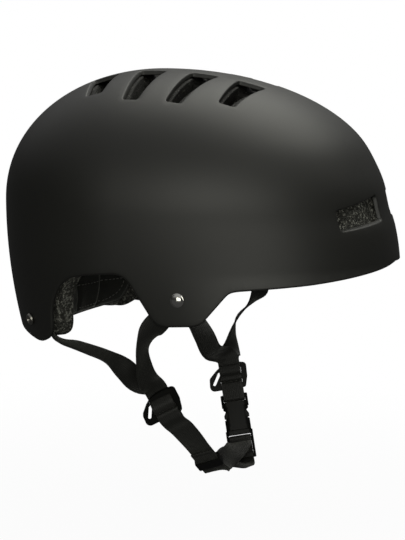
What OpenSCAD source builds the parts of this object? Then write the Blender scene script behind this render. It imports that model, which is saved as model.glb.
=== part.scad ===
// Skate helmet: a moulded hard shell over an expanded foam liner, comfort pads, and a riveted
// webbing harness with two strap dividers and a side release buckle.
// The origin is the middle of the head at the shell's widest level. +X is forward,
// +Y is the wearer's left and +Z is up. Sizes are in millimetres.

/* [Shell] */
// Reach ahead of the origin at the widest level
shell_front = 153; // [146:1:160]
// Reach behind the origin at the widest level
shell_rear = 108; // [102:1:114]
// Half of the width at the widest level
shell_side = 108; // [104:1:112]
// Height of the crown above the widest level
crown_height = 88; // [82:1:96]
// Wall of the shell
shell_wall = 3; // [2.4:0.1:3.6]
// Power of the plan outline, where 2 is an ellipse
plan_power = 2.15; // [2.05:0.01:2.3]
// Power of the upright profile, where 2 is an ellipse
dome_power = 2.08; // [2:0.01:2.25]
// How far the front flares out, as a share at 100 mm under the widest level
front_flare = 0.45; // [0.3:0.01:0.5]
// How far the sides draw in, as a share at 100 mm under the widest level
side_tuck = 0.12; // [0.1:0.01:0.14]
// How far the back draws in, as a share at 100 mm under the widest level
rear_tuck = 0.13; // [0.1:0.01:0.16]

/* [Rim] */
// Level of the rim over the brow
brow_level = -37; // [-42:0.5:-32]
// Lowest level of the ear flaps
flap_level = -72.5; // [-75:0.5:-70]
// Level of the arch between ear flap and rear tab
arch_level = -38; // [-42:0.5:-34]
// Lowest level of the rear tabs
tab_level = -91; // [-94:0.5:-88]
// Level of the rim at the middle of the nape
nape_level = -83; // [-86:0.5:-78]

/* [Vents] */
// Distance of the top vents from the middle line
vent_inner_y = 13.5; // [11:0.5:18]
// Distance of the outer end of the two middle vents from the middle line
vent_outer_y = 64; // [56:0.5:70]
// Width of a top vent at its outer end
vent_low_w = 10; // [8:0.5:12]
// Width of a top vent at its inner end
vent_high_w = 18; // [14:0.5:20]
// Distance of the front and rear vents from the middle line
front_vent_inner_y = 13; // [10:0.5:18]
// Distance of the outer end of a front vent from the middle line
front_vent_outer_y = 56; // [48:0.5:60]
// Distance of the outer end of a rear vent from the middle line
rear_vent_outer_y = 33; // [28:0.5:38]

/* [Liner and pads] */
// Thickness of the foam liner
foam_t = 18; // [15:0.5:20]
// Space between shell and liner
foam_gap = 0.4; // [0.4:0.1:0.8]
// Space between shell and liner where the straps run
strap_gap = 4.6; // [4.2:0.1:5.2]
// How far the liner stays above the rim of the shell
foam_step = 2; // [1.5:0.5:4]
// Thickness of a comfort pad at its crown
pad_t = 10; // [7:0.5:12]
// Thickness of the sewn edge of a pad
pad_edge_t = 2.2; // [1.5:0.1:3]

/* [Rivets] */
// Radius of a side rivet's domed head
side_head_r = 4.7; // [4.2:0.1:5.5]
// Radius of a rear rivet's head
rear_head_r = 4; // [3.4:0.1:4.6]
// Radius of a rivet's shank
shank_r = 2.2; // [1.8:0.1:2.4]
// Level of the side rivets
side_rivet_level = -54; // [-56:0.5:-50]
// Level of the rear rivets
rear_rivet_level = -77; // [-79:0.5:-74]

/* [Webbing] */
// Width of the webbing
webbing_w = 15; // [13:0.5:16]
// Thickness of the webbing
webbing_t = 1.4; // [1.1:0.1:1.6]

/* [Dividers] */
// Distance of each divider from the middle plane
divider_y = 74; // [70:0.5:78]
// Distance of the right divider ahead of the origin
right_divider_x = 23; // [18:0.5:28]
// Level of the right divider
right_divider_level = -130.3; // [-134:0.1:-126]
// Distance of the left divider ahead of the origin
left_divider_x = 26; // [22:0.5:30]
// Level of the left divider
left_divider_level = -139.5; // [-144:0.5:-136]
// Thickness of a divider
divider_t = 3.2; // [2.6:0.1:3.6]
// Height of a divider's bars
bar_h = 3; // [2.6:0.1:3.4]

/* [Buckle] */
// Thickness of the buckle
buckle_t = 8; // [7:0.5:9]
// Length of the socket half
socket_len = 26; // [25:0.5:28]
// Length of the tongue half outside the socket
tongue_len = 20; // [18:0.5:22]
// Distance from the divider's middle to the socket's top end
buckle_drop = 13; // [12.5:0.5:16]
// Length of the strap keeper along the strap
keeper_len = 9; // [7:0.5:11]

/* [Hidden] */

shell_black = [0.10, 0.10, 0.10];
foam_grey = [0.25, 0.25, 0.25];
pad_black = [0.07, 0.07, 0.07];
webbing_black = [0.09, 0.09, 0.09];
plastic_black = [0.13, 0.13, 0.13];
steel = [0.78, 0.76, 0.72];

soft_gap = 0.35;
fit_gap = 0.08;
round_faces = 48;

// Vector helpers
function unit(v) = v / norm(v);
function mix(a, b, t) = a + (b - a) * t;
function turn_x(v, a) = [v.x, v.y * cos(a) - v.z * sin(a), v.y * sin(a) + v.z * cos(a)];
function turn_z(v, a) = [v.x * cos(a) - v.y * sin(a), v.x * sin(a) + v.y * cos(a), v.z];
function turn_y(v, a) = [v.x * cos(a) + v.z * sin(a), v.y, v.z * cos(a) - v.x * sin(a)];
function soft_step(t) = let (s = min(max(t, 0), 1)) s * s * (3 - 2 * s);

// Head form: plan outline, upright profile and the draw under the widest level
function plan_r(angle, inset) =
    let (reach = (cos(angle) > 0 ? shell_front : shell_rear) - inset, side = shell_side - inset)
    pow(pow(abs(cos(angle)) / reach, plan_power) + pow(abs(sin(angle)) / side, plan_power),
        -1 / plan_power);
function draw_in(angle) =
    let (ahead = pow(max(cos(angle), 0), 2), behind = pow(max(-cos(angle), 0), 2))
    side_tuck - (front_flare + side_tuck) * ahead + (rear_tuck - side_tuck) * behind;
function level_share(angle, z, inset) = z > 0
    ? let (rise = min(pow(z / (crown_height - inset), dome_power / 2), 1))
        pow(sin(acos(rise)), 2 / dome_power)
    : 1 - draw_in(angle) * pow(z / 100, 2);
function form_point(angle, z, inset) =
    let (r = plan_r(angle, inset) * level_share(angle, z, inset))
    [r * cos(angle), r * sin(angle), z];
function crown_point(x, y, inset) =
    let (share = min(norm([x, y]) / plan_r(atan2(y, x), inset), 1),
        rise = asin(pow(share, dome_power / 2)))
    [x, y, (crown_height - inset) * pow(cos(rise), 2 / dome_power)];
function form_normal(angle, z) =
    let (across = form_point(angle + 1, z, 0) - form_point(angle - 1, z, 0),
        up = form_point(angle, z + 1, 0) - form_point(angle, z - 1, 0))
    unit(cross(across, up));

// Rim outline on the unrolled side: angle from the front, level, corner radius
rim_scale = 1.9;
rim_corners = [
    [0, brow_level, 0], [15, brow_level - 3, 0], [32, brow_level - 7, 0],
    [52.5, brow_level - 10.5, 6], [61.2, flap_level + 2, 9], [75, flap_level, 11],
    [87, arch_level + 0.5, 14], [104, arch_level - 2.5, 0], [117, arch_level - 7.5, 17],
    [120.5, tab_level + 5, 13], [130, tab_level - 0.5, 20], [148, tab_level + 3.5, 0],
    [180, nape_level, 0]
];
function corner_arc(before, at, after, r, steps) =
    let (back = unit(before - at), on = unit(after - at),
        half = acos(min(max(back * on, -1), 1)) / 2, reach = r / tan(half),
        start = at + back * reach, centre = at + unit(back + on) * r / sin(half),
        first = atan2(start.y - centre.y, start.x - centre.x),
        finish = at + on * reach,
        last = atan2(finish.y - centre.y, finish.x - centre.x),
        sweep = (last - first + 540) % 360 - 180)
    [for (i = [0 : steps]) centre + r * [cos(first + sweep * i / steps), sin(first + sweep * i / steps)]];
function flat_corner(i) = [rim_corners[i].x * rim_scale, rim_corners[i].y];
function rim_corner_points(steps) = [
    for (i = [0 : len(rim_corners) - 1])
        if (rim_corners[i].z == 0) flat_corner(i)
        else each corner_arc(flat_corner(i - 1), flat_corner(i), flat_corner(i + 1),
            rim_corners[i].z, steps)
];
// The half rim from brow to nape with stretches no longer than a step
function half_rim(steps, stretch) =
    let (points = rim_corner_points(steps))
    [for (i = [0 : len(points) - 2])
        let (parts = ceil(norm(points[i + 1] - points[i]) / stretch))
        for (k = [0 : parts - 1]) mix(points[i], points[i + 1], k / parts),
     points[len(points) - 1]];
// All columns of the skin: the angle at the widest level, the angle and level at the rim
function half_columns(steps, stretch) =
    let (rim = half_rim(steps, stretch), last = len(rim) - 1)
    [for (i = [0 : last])
        [0.5 * rim[i].x / rim_scale + 90 * i / last, rim[i].x / rim_scale, rim[i].y]];
function columns(steps, stretch) =
    let (half = half_columns(steps, stretch), last = len(half) - 1)
    concat(half, [for (i = [last - 1 : -1 : 1]) [-half[i].x, -half[i].y, half[i].z]]);

// A skin point of one column, by row: 0 is the crown, dome_rows is the widest level
function skin_point(column, row, dome_rows, side_rows, inset, lift) =
    row <= dome_rows
    ? let (rise = 90 * row / dome_rows,
        r = plan_r(column.x, inset) * pow(sin(rise), 2 / dome_power))
        [r * cos(column.x), r * sin(column.x),
            (crown_height - inset) * pow(cos(rise), 2 / dome_power)]
    : let (share = (row - dome_rows) / side_rows)
        form_point(mix(column.x, column.y, share), (column.z + lift) * share, inset);

// A closed bowl between two skins; the outer one steps in to low_inset below the widest level
module bowl(cols, dome_rows, side_rows, outer_inset, inner_inset, low_inset, lift, lip) {
    n = len(cols);
    rows = dome_rows + side_rows;
    function outer_at(c, row) =
        let (z = skin_point(c, row, dome_rows, side_rows, outer_inset, lift).z,
            inset = outer_inset + (low_inset - outer_inset) * soft_step((-30 - z) / 14))
        skin_point(c, row, dome_rows, side_rows, inset, lift);
    outer = [for (row = [1 : rows]) for (c = cols) outer_at(c, row)];
    inner = [for (row = [1 : rows]) for (c = cols)
        skin_point(c, row, dome_rows, side_rows, inner_inset, lift)];
    edge = [for (i = [0 : n - 1])
        mix(outer[(rows - 1) * n + i], inner[(rows - 1) * n + i], 0.5) - [0, 0, lip]];
    top = [[0, 0, crown_height - outer_inset], [0, 0, crown_height - inner_inset]];
    o = 2;
    i0 = o + rows * n;
    e = i0 + rows * n;
    faces = [
        for (k = [0 : n - 1]) let (m = (k + 1) % n) each concat(
            [[0, o + m, o + k], [1, i0 + k, i0 + m]],
            [for (row = [0 : rows - 2]) let (a = row * n, b = a + n) each [
                [o + a + k, o + a + m, o + b + m], [o + a + k, o + b + m, o + b + k],
                [i0 + a + k, i0 + b + m, i0 + a + m], [i0 + a + k, i0 + b + k, i0 + b + m]]],
            let (a = (rows - 1) * n) [
                [o + a + k, o + a + m, e + m], [o + a + k, e + m, e + k],
                [e + k, e + m, i0 + a + m], [e + k, i0 + a + m, i0 + a + k]])
    ];
    polyhedron(concat(top, outer, inner, edge), faces);
}

// Vents: outlines seen from above and from the front
vent_low_x = [-33, -3.5, 26.5, 60.5];
vent_high_x = [-38, -4, 33, 66];
vent_short = [11, 0, 0, 8.5];
module top_vents(margin, floor_z) {
    for (i = [0 : 3]) for (side = [-1, 1])
        let (low = vent_low_w / 2 - margin, high = vent_high_w / 2 - margin,
            near = vent_inner_y + margin, far = vent_outer_y - vent_short[i] - margin)
        translate([0, 0, floor_z])
            linear_extrude(crown_height)
                polygon([[vent_low_x[i] - low, side * far], [vent_low_x[i] + low, side * far],
                    [vent_high_x[i] + high, side * near], [vent_high_x[i] - high, side * near]]);
}
front_vent_low = -12;
module front_vents(margin) {
    for (side = [-1, 1])
        rotate([90, 0, 90])
            linear_extrude(2 * shell_front)
                    polygon([
                        [side * (front_vent_inner_y + margin), front_vent_low + margin],
                        [side * (front_vent_outer_y - margin), front_vent_low + margin],
                        [side * (front_vent_outer_y - margin), 1.5 - margin],
                        [side * (front_vent_inner_y + margin), 8 - margin]]);
}
module rear_vents(margin) {
    for (side = [-1, 1])
        translate([-shell_rear - 10, 0, 0])
            rotate([90, 0, 90])
                linear_extrude(50)
                    polygon([
                        [side * (front_vent_inner_y + margin), -6 + margin],
                        [side * (rear_vent_outer_y - margin), -2 + margin],
                        [side * (rear_vent_outer_y - margin), 9 - margin],
                        [side * (front_vent_inner_y + margin), 12 - margin]]);
}

// Rivets: place, and the way their heads face
side_rivet_angle = 68;
rear_rivet_angle = 133.5;
side_rivet = form_point(side_rivet_angle, side_rivet_level, 0);
rear_rivet = form_point(rear_rivet_angle, rear_rivet_level, 0);
rear_face = form_normal(rear_rivet_angle, rear_rivet_level);
// The side rivets lie on one line across the helmet, which the harness turns about
module at_side_rivet(side)
    translate([side_rivet.x, side * side_rivet.y, side_rivet.z]) rotate([-90 * side, 0, 0]) children();
module at_rear_rivet(side)
    translate([rear_rivet.x, side * rear_rivet.y, rear_rivet.z])
        rotate([0, acos(rear_face.z), side * atan2(rear_face.y, rear_face.x)]) children();
washer_t = 1;
head_h = 2.4;
strap_inset = shell_wall + strap_gap / 2;
side_shank = strap_inset + webbing_t / 2 + soft_gap + washer_t;
rear_shank = strap_inset + webbing_t / 2 + soft_gap + washer_t;
module rivet_holes() {
    for (side = [-1, 1]) {
        at_side_rivet(side) translate([0, 0, -8]) cylinder(h = 16, r = shank_r + fit_gap, $fn = round_faces);
        at_rear_rivet(side) translate([0, 0, -8]) cylinder(h = 16, r = shank_r + fit_gap, $fn = round_faces);
    }
}

module shell() color(shell_black) difference() {
    bowl(columns(3, 14), 8, 3, 0, shell_wall, 0, 0, 0.8);
    top_vents(0, 30);
    front_vents(0);
    rear_vents(0);
    rivet_holes();
}

// Liner: fits the shell, steps in where the straps run, and has air channels at the vents
liner_outer = shell_wall + foam_gap;
liner_inner = liner_outer + foam_t;
channel_depth = 5;
vent_margin = 2.5;
recess_depth = 3;
// What lies outside the floor of a recess in the liner, between the levels of the end vents
module recess_skin() difference() {
    translate([-200, -100, -20]) cube([400, 200, 40]);
    recess_core();
}
module recess_core() {
    n = 48;
    levels = [-24, -12, 0, 12, 24];
    ring = [for (z = levels) for (i = [0 : n - 1]) form_point(360 * i / n, z, liner_outer + recess_depth)];
    last = (len(levels) - 1) * n;
    faces = concat(
        [for (r = [0 : len(levels) - 2]) for (i = [0 : n - 1])
            let (a = r * n + i, b = r * n + (i + 1) % n)
            each [[a, a + n, b + n], [a, b + n, b]]],
        [[for (i = [0 : n - 1]) i], [for (i = [n - 1 : -1 : 0]) last + i]]);
    polyhedron(ring, faces);
}
module foam_liner() color(foam_grey) difference() {
    bowl(columns(3, 14), 8, 3, liner_outer, liner_inner, shell_wall + strap_gap, foam_step, 0);
    top_vents(vent_margin, 20);
    intersection() {
        union() {
            front_vents(-1);
            rear_vents(-1);
        }
        recess_skin();
    }
    for (x = vent_high_x)
        translate([x - vent_high_w / 2 + 2, -vent_inner_y - 3, crown_height - liner_outer - channel_depth])
            cube([vent_high_w - 4, 2 * vent_inner_y + 6, 2 * channel_depth]);
    for (side = [-1, 1]) {
        at_side_rivet(side) translate([0, 0, -side_shank - 1.6]) cylinder(h = 12, r = 7.5, $fn = round_faces);
        at_rear_rivet(side) translate([0, 0, -rear_shank - 1.6]) cylinder(h = 12, r = 6.5, $fn = round_faces);
    }
}

// Comfort pads: crowned cushions with a sewn edge and channels, lying on the liner
patch_t = 0.8;
patch_r = 7;
patch_gap = 0.9;
pad_back = liner_inner + patch_gap + patch_t + 0.6;
pad_cols = 16;
pad_rows = 8;
function pad_swell(p, q, channels) =
    let (crown = pow(1 - pow(p, 6), 0.5) * pow(1 - pow(q, 4), 0.5),
        groove = max([for (c = channels) abs(p - c) < 0.01 ? 0.45 : 0]))
    pad_edge_t + (pad_t - pad_edge_t) * crown * (1 - groove);
// The pad's outline is a rectangle with round corners
function pad_u(p, q) = p * sqrt(1 - 0.3 * q * q);
function pad_v(p, q) = q * sqrt(1 - 0.3 * p * p);
module cushion(front, back) {
    n = pad_cols + 1;
    all = n * (pad_rows + 1);
    points = concat([for (row = front) each row], [for (row = back) each row]);
    ring = concat([for (i = [0 : pad_cols]) i],
        [for (j = [1 : pad_rows]) j * n + pad_cols],
        [for (i = [pad_cols - 1 : -1 : 0]) pad_rows * n + i],
        [for (j = [pad_rows - 1 : -1 : 1]) j * n]);
    faces = concat(
        [for (j = [0 : pad_rows - 1]) for (i = [0 : pad_cols - 1])
            let (a = j * n + i, b = a + 1, c = a + n + 1, d = a + n)
            each [[a, b, c], [a, c, d], [all + a, all + c, all + b], [all + a, all + d, all + c]]],
        [for (k = [0 : len(ring) - 1]) let (a = ring[k], b = ring[(k + 1) % len(ring)])
            each [[a, all + a, b], [b, all + a, all + b]]]);
    polyhedron(points, faces);
}
module wall_pad(middle_angle, half_angle, low, high, channels) {
    centre_z = (low + high) / 2;
    half_z = (high - low) / 2;
    function at(i, j, lift) =
        let (p = 2 * i / pad_cols - 1, q = 2 * j / pad_rows - 1)
        form_point(middle_angle + half_angle * pad_u(p, q), centre_z + half_z * pad_v(p, q),
            pad_back + (lift ? pad_swell(p, q, channels) : 0));
    cushion([for (j = [0 : pad_rows]) [for (i = [0 : pad_cols]) at(i, j, true)]],
        [for (j = [0 : pad_rows]) [for (i = [0 : pad_cols]) at(i, j, false)]]);
}
crown_pad_x = [-48, 52];
crown_pad_half_y = 30;
module crown_pad() {
    mid = (crown_pad_x[0] + crown_pad_x[1]) / 2;
    half = (crown_pad_x[1] - crown_pad_x[0]) / 2;
    function at(i, j, lift) =
        let (p = 2 * i / pad_cols - 1, q = 2 * j / pad_rows - 1)
        crown_point(mid + half * pad_u(p, q), crown_pad_half_y * pad_v(p, q),
            pad_back + (lift ? pad_swell(p, q, [-0.5, 0, 0.5]) : 0));
    color(pad_black) cushion([for (j = [0 : pad_rows]) [for (i = [0 : pad_cols]) at(i, j, true)]],
        [for (j = [0 : pad_rows]) [for (i = [0 : pad_cols]) at(i, j, false)]]);
}
brow_span = 30;
side_pad_angle = 72;
side_pad_span = 27;
nape_span = 55;
patch_angle = 140;
module brow_pad() color(pad_black) wall_pad(0, brow_span, -33, 2, [-0.5, 0, 0.5]);
module side_pad(side) color(pad_black) wall_pad(side * side_pad_angle, side_pad_span, -36, 8, [0]);
module nape_pad() color(pad_black) wall_pad(180, nape_span, -89, -30, [-0.625, -0.25, 0.25, 0.625]);

// Hook patches: discs stuck to the liner that hold the pads
module wall_patch(angle, z) {
    spot = form_point(angle, z, liner_inner + patch_gap);
    face = form_normal(angle, z);
    translate(spot) rotate([0, acos(face.z), atan2(face.y, face.x)])
        translate([0, 0, -patch_t]) cylinder(h = patch_t, r = patch_r, $fn = round_faces);
}
module hook_patches() color(pad_black) {
    for (side = [-1, 1]) {
        wall_patch(side * 17, -17);
        wall_patch(side * (side_pad_angle - 13), -16);
        wall_patch(side * (side_pad_angle + 13), -16);
        wall_patch(side * patch_angle, -58);
    }
    wall_patch(180, -58);
    translate([0, 0, crown_height - liner_inner - patch_gap - patch_t])
        cylinder(h = patch_t, r = patch_r, $fn = round_faces);
}

// Rivets: a dome or eyelet head, a shank, and a washer behind the webbing
module dome_head(r) rotate_extrude($fn = round_faces) difference() {
    intersection() {
        translate([0, head_h - (r * r + head_h * head_h) / (2 * head_h)])
            circle(r = (r * r + head_h * head_h) / (2 * head_h), $fn = 96);
        square([r + 1, head_h + 1]);
    }
    translate([-10, -10]) square([10, 30]);
}
seat_h = 0.5;
module side_rivets() color(steel) for (side = [-1, 1])
    at_side_rivet(side) {
        translate([0, 0, seat_h]) dome_head(side_head_r);
        translate([0, 0, -side_shank - 0.8])
            cylinder(h = side_shank + seat_h + 1.6, r = shank_r, $fn = round_faces);
        translate([0, 0, -side_shank - 0.8]) cylinder(h = 0.8, r = shank_r + 1.2, $fn = round_faces);
    }
module rear_rivets() color(steel) for (side = [-1, 1])
    at_rear_rivet(side) {
        difference() {
            translate([0, 0, seat_h]) dome_head(rear_head_r);
            translate([0, 0, seat_h + 1.2]) cylinder(h = head_h, r1 = shank_r * 0.5, r2 = shank_r, $fn = round_faces);
        }
        translate([0, 0, -rear_shank - 0.8])
            cylinder(h = rear_shank + seat_h + 1.3, r = shank_r, $fn = round_faces);
        translate([0, 0, -rear_shank - 0.8]) cylinder(h = 0.8, r = shank_r + 1, $fn = round_faces);
    }
module washer(r, depth)
    translate([0, 0, -depth]) difference() {
        cylinder(h = washer_t, r = r, $fn = round_faces);
        translate([0, 0, -1]) cylinder(h = washer_t + 2, r = shank_r + fit_gap, $fn = round_faces);
    }
module side_washers() color(steel) for (side = [-1, 1]) at_side_rivet(side) washer(6, side_shank);
module rear_washers() color(steel) for (side = [-1, 1]) at_rear_rivet(side) washer(5, rear_shank);

// Webbing: a flat ribbon swept along stations, each a point and the way across the ribbon
function spline(a, b, c, d, t) =
    0.5 * (2 * b + (c - a) * t + (2 * a - 5 * b + 4 * c - d) * t * t + (3 * b - a - 3 * c + d) * t * t * t);
function smooth_path(s, parts) =
    let (last = len(s) - 1)
    [for (i = [0 : last - 1]) let (a = s[max(i - 1, 0)], b = s[i], c = s[i + 1], d = s[min(i + 2, last)])
        for (k = [0 : parts - 1]) let (t = k / parts)
        [spline(a[0], b[0], c[0], d[0], t), spline(a[1], b[1], c[1], d[1], t)],
     s[last]];
module ribbon(stations, closed = false) {
    n = len(stations);
    function tangent(i) = closed
        ? unit(stations[(i + 1) % n][0] - stations[(i + n - 1) % n][0])
        : unit(stations[min(i + 1, n - 1)][0] - stations[max(i - 1, 0)][0]);
    function across(i) = let (t = tangent(i), a = stations[i][1]) unit(a - (a * t) * t);
    rings = [for (i = [0 : n - 1])
        let (p = stations[i][0], a = across(i) * webbing_w / 2, b = unit(cross(tangent(i), a)) * webbing_t / 2)
        each [p - a - b, p + a - b, p + a + b, p - a + b]];
    sides = [for (i = [0 : (closed ? n - 1 : n - 2)]) for (k = [0 : 3])
        let (m = (k + 1) % 4, j = (i + 1) % n)
        each [[4 * i + k, 4 * j + k, 4 * j + m], [4 * i + k, 4 * j + m, 4 * i + m]]];
    e = 4 * (n - 1);
    caps = closed ? [] : [[0, 1, 2], [0, 2, 3], [e, e + 2, e + 1], [e, e + 3, e + 2]];
    polyhedron(rings, concat(sides, caps));
}

// Dividers: a moulded frame with three bars; its own frame is u forward, o outward, v up
yaw = [20, 14];
lean = [12, 20];
tilt = [28, 9.5];
divider_at = [
    [right_divider_x, -divider_y, right_divider_level],
    [left_divider_x, divider_y, left_divider_level]
];
sides = [-1, 1];
function turned(k, v) =
    turn_z(turn_x(turn_y([v.x, v.y * sides[k], v.z], -tilt[k]), -sides[k] * lean[k]), yaw[k]);
function divider_point(k, v) = divider_at[k] + turned(k, v);
module at_divider(k)
    translate(divider_at[k]) rotate([0, 0, yaw[k]]) rotate([-sides[k] * lean[k], 0, 0])
        rotate([0, -tilt[k], 0]) children();
slot_w = webbing_w + 0.7;
lower_slot_h = 2 * webbing_t + 1;
upper_slot_h = 5.6;
lower_bar_v = -bar_h - lower_slot_h;
upper_slot_v = bar_h / 2;
lobe = 4.6;
module divider_outline() hull() {
    for (u = [-1, 1])
        translate([u * (slot_w / 2 + 0.4), lower_bar_v + 0.4]) circle(r = bar_h / 2 + 0.4, $fn = 32);
    // An arch runs from the lobe over the top bar
    for (c = [[-lobe - 0.2, -5.2, 3.4], [-lobe, -1, 3.2], [-0.3, 3.4, 3]])
        translate([-slot_w / 2 + c.x, c.y]) circle(r = c.z, $fn = 32);
    for (c = [[-4, -0.8, 3], [0.5, 0.2, 2.9], [6, 0.5, 2.7], [slot_w / 2 + 1.6, -0.2, 2.7]])
        translate([c.x, upper_slot_v + upper_slot_h + c.y]) circle(r = c.z, $fn = 32);
    translate([slot_w / 2 + 1.6, 0]) circle(r = 2.4, $fn = 32);
}
module slot_outline(left, right, low, high, r) hull()
    for (u = [left + r, right - r]) for (v = [low + r, high - r])
        translate([u, v]) circle(r = r, $fn = 24);
module divider(k) color(plastic_black) at_divider(k)
    rotate([90, 0, 0]) linear_extrude(divider_t, center = true) difference() {
        divider_outline();
        slot_outline(-slot_w / 2, slot_w / 2, upper_slot_v, upper_slot_v + upper_slot_h, 0.8);
        // The lobe's slit, which opens into the upper slot
        hull() for (p = [[-0.3, 3.4], [-lobe, -3.8]])
            translate([-slot_w / 2 + p.x, p.y]) circle(r = 1.1, $fn = 24);
        slot_outline(-slot_w / 2, slot_w / 2, -bar_h / 2 - lower_slot_h, -bar_h / 2, 0.8);
    }

// Strap legs: stations in the pocket, in the air, and round the divider's middle bar
layer = divider_t / 2 + soft_gap + webbing_t / 2;
layer_2 = layer + webbing_t + soft_gap;
wrap_v = bar_h / 2 + soft_gap + webbing_t / 2;
join_v = 8;
join_layer = layer_2 + 0.6;
// A round cornered turn about a square bar
function bowed(t) = sign(t) * sqrt(abs(t));
function bar_wrap(k, depth, centre_v, first, last, steps) = [
    for (i = [0 : steps]) let (a = first + (last - first) * i / steps)
        [divider_point(k, [0, depth * bowed(cos(a)), centre_v + wrap_v * bowed(sin(a))]), across_u[k]]];
across_u = [turned(0, [1, 0, 0]), turned(1, [1, 0, 0])];
// In the divider: behind the top bar, over the middle bar and back up to meet the rear leg
function leg_end(k) = concat(
    [[divider_point(k, [0, -layer, 13]), across_u[k]],
     [divider_point(k, [0, -layer, 7]), across_u[k]],
     [divider_point(k, [0, 0, 4.4]), across_u[k]]],
    bar_wrap(k, layer, 0, 20, -180, 8),
    [[divider_point(k, [0, -join_layer, 3]), across_u[k]],
     [divider_point(k, [0, -join_layer, join_v]), across_u[k]]]);
// A station in the space between shell and liner, with the ribbon flat against the shell
function pocket(k, angle, z, way) =
    let (p = form_point(angle, z, strap_inset), n = form_normal(angle, z),
        face = [n.x, sides[k] * n.y, n.z])
    [[p.x, sides[k] * p.y, p.z], unit(way - (way * face) * face)];
front_leg_routes = [
    [
        pocket(0, side_rivet_angle - 2.6, side_rivet_level + 6, [0.74, 0, -0.66]),
        pocket(0, side_rivet_angle, side_rivet_level, [0.74, 0, -0.66]),
        pocket(0, side_rivet_angle + 3.4, side_rivet_level - 8, [0.74, 0, -0.66]),
        pocket(0, side_rivet_angle + 6.4, side_rivet_level - 15.5, [0.74, 0, -0.66]),
        [[22, -95.6, -75], [0.62, 0.4, -0.62]],
        [[18.5, -93.7, -80], [0.35, 0.8, -0.45]],
        [[13.6, -90, -91.3], [0.15, 0.98, -0.11]],
        [[13.2, -85.8, -103], [0.35, 0.92, 0.1]],
        [[15.2, -80.8, -114], [0.65, 0.65, 0.38]]
    ],
    [
        pocket(1, side_rivet_angle, side_rivet_level + 8, [1, 0, 0]),
        pocket(1, side_rivet_angle, side_rivet_level, [1, 0, 0]),
        pocket(1, side_rivet_angle, side_rivet_level - 10, [1, 0, 0]),
        pocket(1, side_rivet_angle, side_rivet_level - 17.5, [1, 0.1, 0]),
        [[41, 95, -78.5], [0.6, 0.75, -0.3]],
        [[35.9, 93.5, -86.6], [-0.1, 0.96, -0.25]],
        [[25.4, 90.5, -99.1], [-0.31, 0.94, -0.12]],
        [[23.1, 87.5, -110.1], [0.03, 1, -0.06]],
        [[22.8, 83.5, -122.8], [0.65, 0.7, 0.15]]
    ]
];
module side_shank_hole()
    translate([side_rivet.x, 0, side_rivet.z]) rotate([90, 0, 0])
        cylinder(h = 300, r = shank_r + fit_gap, center = true, $fn = round_faces);
module front_leg(k) color(webbing_black) difference() {
    ribbon(smooth_path(concat(front_leg_routes[k], leg_end(k)), 3));
    side_shank_hole();
}

rear_leg_routes = [
    [
        pocket(0, rear_rivet_angle + 4, rear_rivet_level + 4, [0, 0, 1]),
        pocket(0, rear_rivet_angle, rear_rivet_level, [0, 0, 1]),
        pocket(0, rear_rivet_angle - 4, rear_rivet_level - 3, [0, 0, 1]),
        pocket(0, rear_rivet_angle - 8, rear_rivet_level - 6, [0, 0, 1]),
        pocket(0, rear_rivet_angle - 12.5, rear_rivet_level - 9, [0, 0, 1]),
        [[-39, -87, -89.5], [0, 0.4, 0.92]],
        [[-27, -86.5, -92.5], [0, 0.85, 0.5]],
        [[-10.4, -86.3, -97.9], [-0.04, 0.94, 0.32]],
        [[-1.6, -83, -105.4], [0.41, 0.67, 0.62]],
        [[6.4, -75, -115.4], [0.66, 0.29, 0.7]]
    ],
    [
        pocket(1, rear_rivet_angle + 4, rear_rivet_level + 2, [0, 0, 1]),
        pocket(1, rear_rivet_angle, rear_rivet_level, [0, 0, 1]),
        pocket(1, rear_rivet_angle - 5.5, rear_rivet_level - 1.5, [0, 0, 1]),
        pocket(1, rear_rivet_angle - 11, rear_rivet_level - 3, [0, 0, 1]),
        pocket(1, rear_rivet_angle - 15, rear_rivet_level - 4, [0, 0, 1]),
        [[-33, 91, -84], [0.1, 0.3, 0.95]],
        [[-20, 89.5, -90], [0.2, 0.6, 0.78]],
        [[-3.2, 87, -104.6], [0.45, 0.79, 0.4]],
        [[3.3, 82.5, -112.4], [0.6, 0.6, 0.53]],
        [[11.8, 75.6, -122.3], [0.78, 0.4, 0.45]]
    ]
];
// The rear leg ends against the front leg's returning end, with a sewing gap
function rear_end(k) = [
    [divider_point(k, [-1, -join_layer - 1.4, join_v + 6]), turned(k, [1, 0, 0.25])],
    [divider_point(k, [0, -join_layer - 0.2, join_v + 2.6]), across_u[k]],
    [divider_point(k, [0, -join_layer, join_v + 0.9]), across_u[k]]];
module rear_leg(k) color(webbing_black) difference() {
    ribbon(smooth_path(concat(rear_leg_routes[k], rear_end(k)), 7));
    at_rear_rivet(sides[k]) translate([0, 0, -12])
        cylinder(h = 16, r = shank_r + fit_gap, $fn = round_faces);
}

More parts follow.
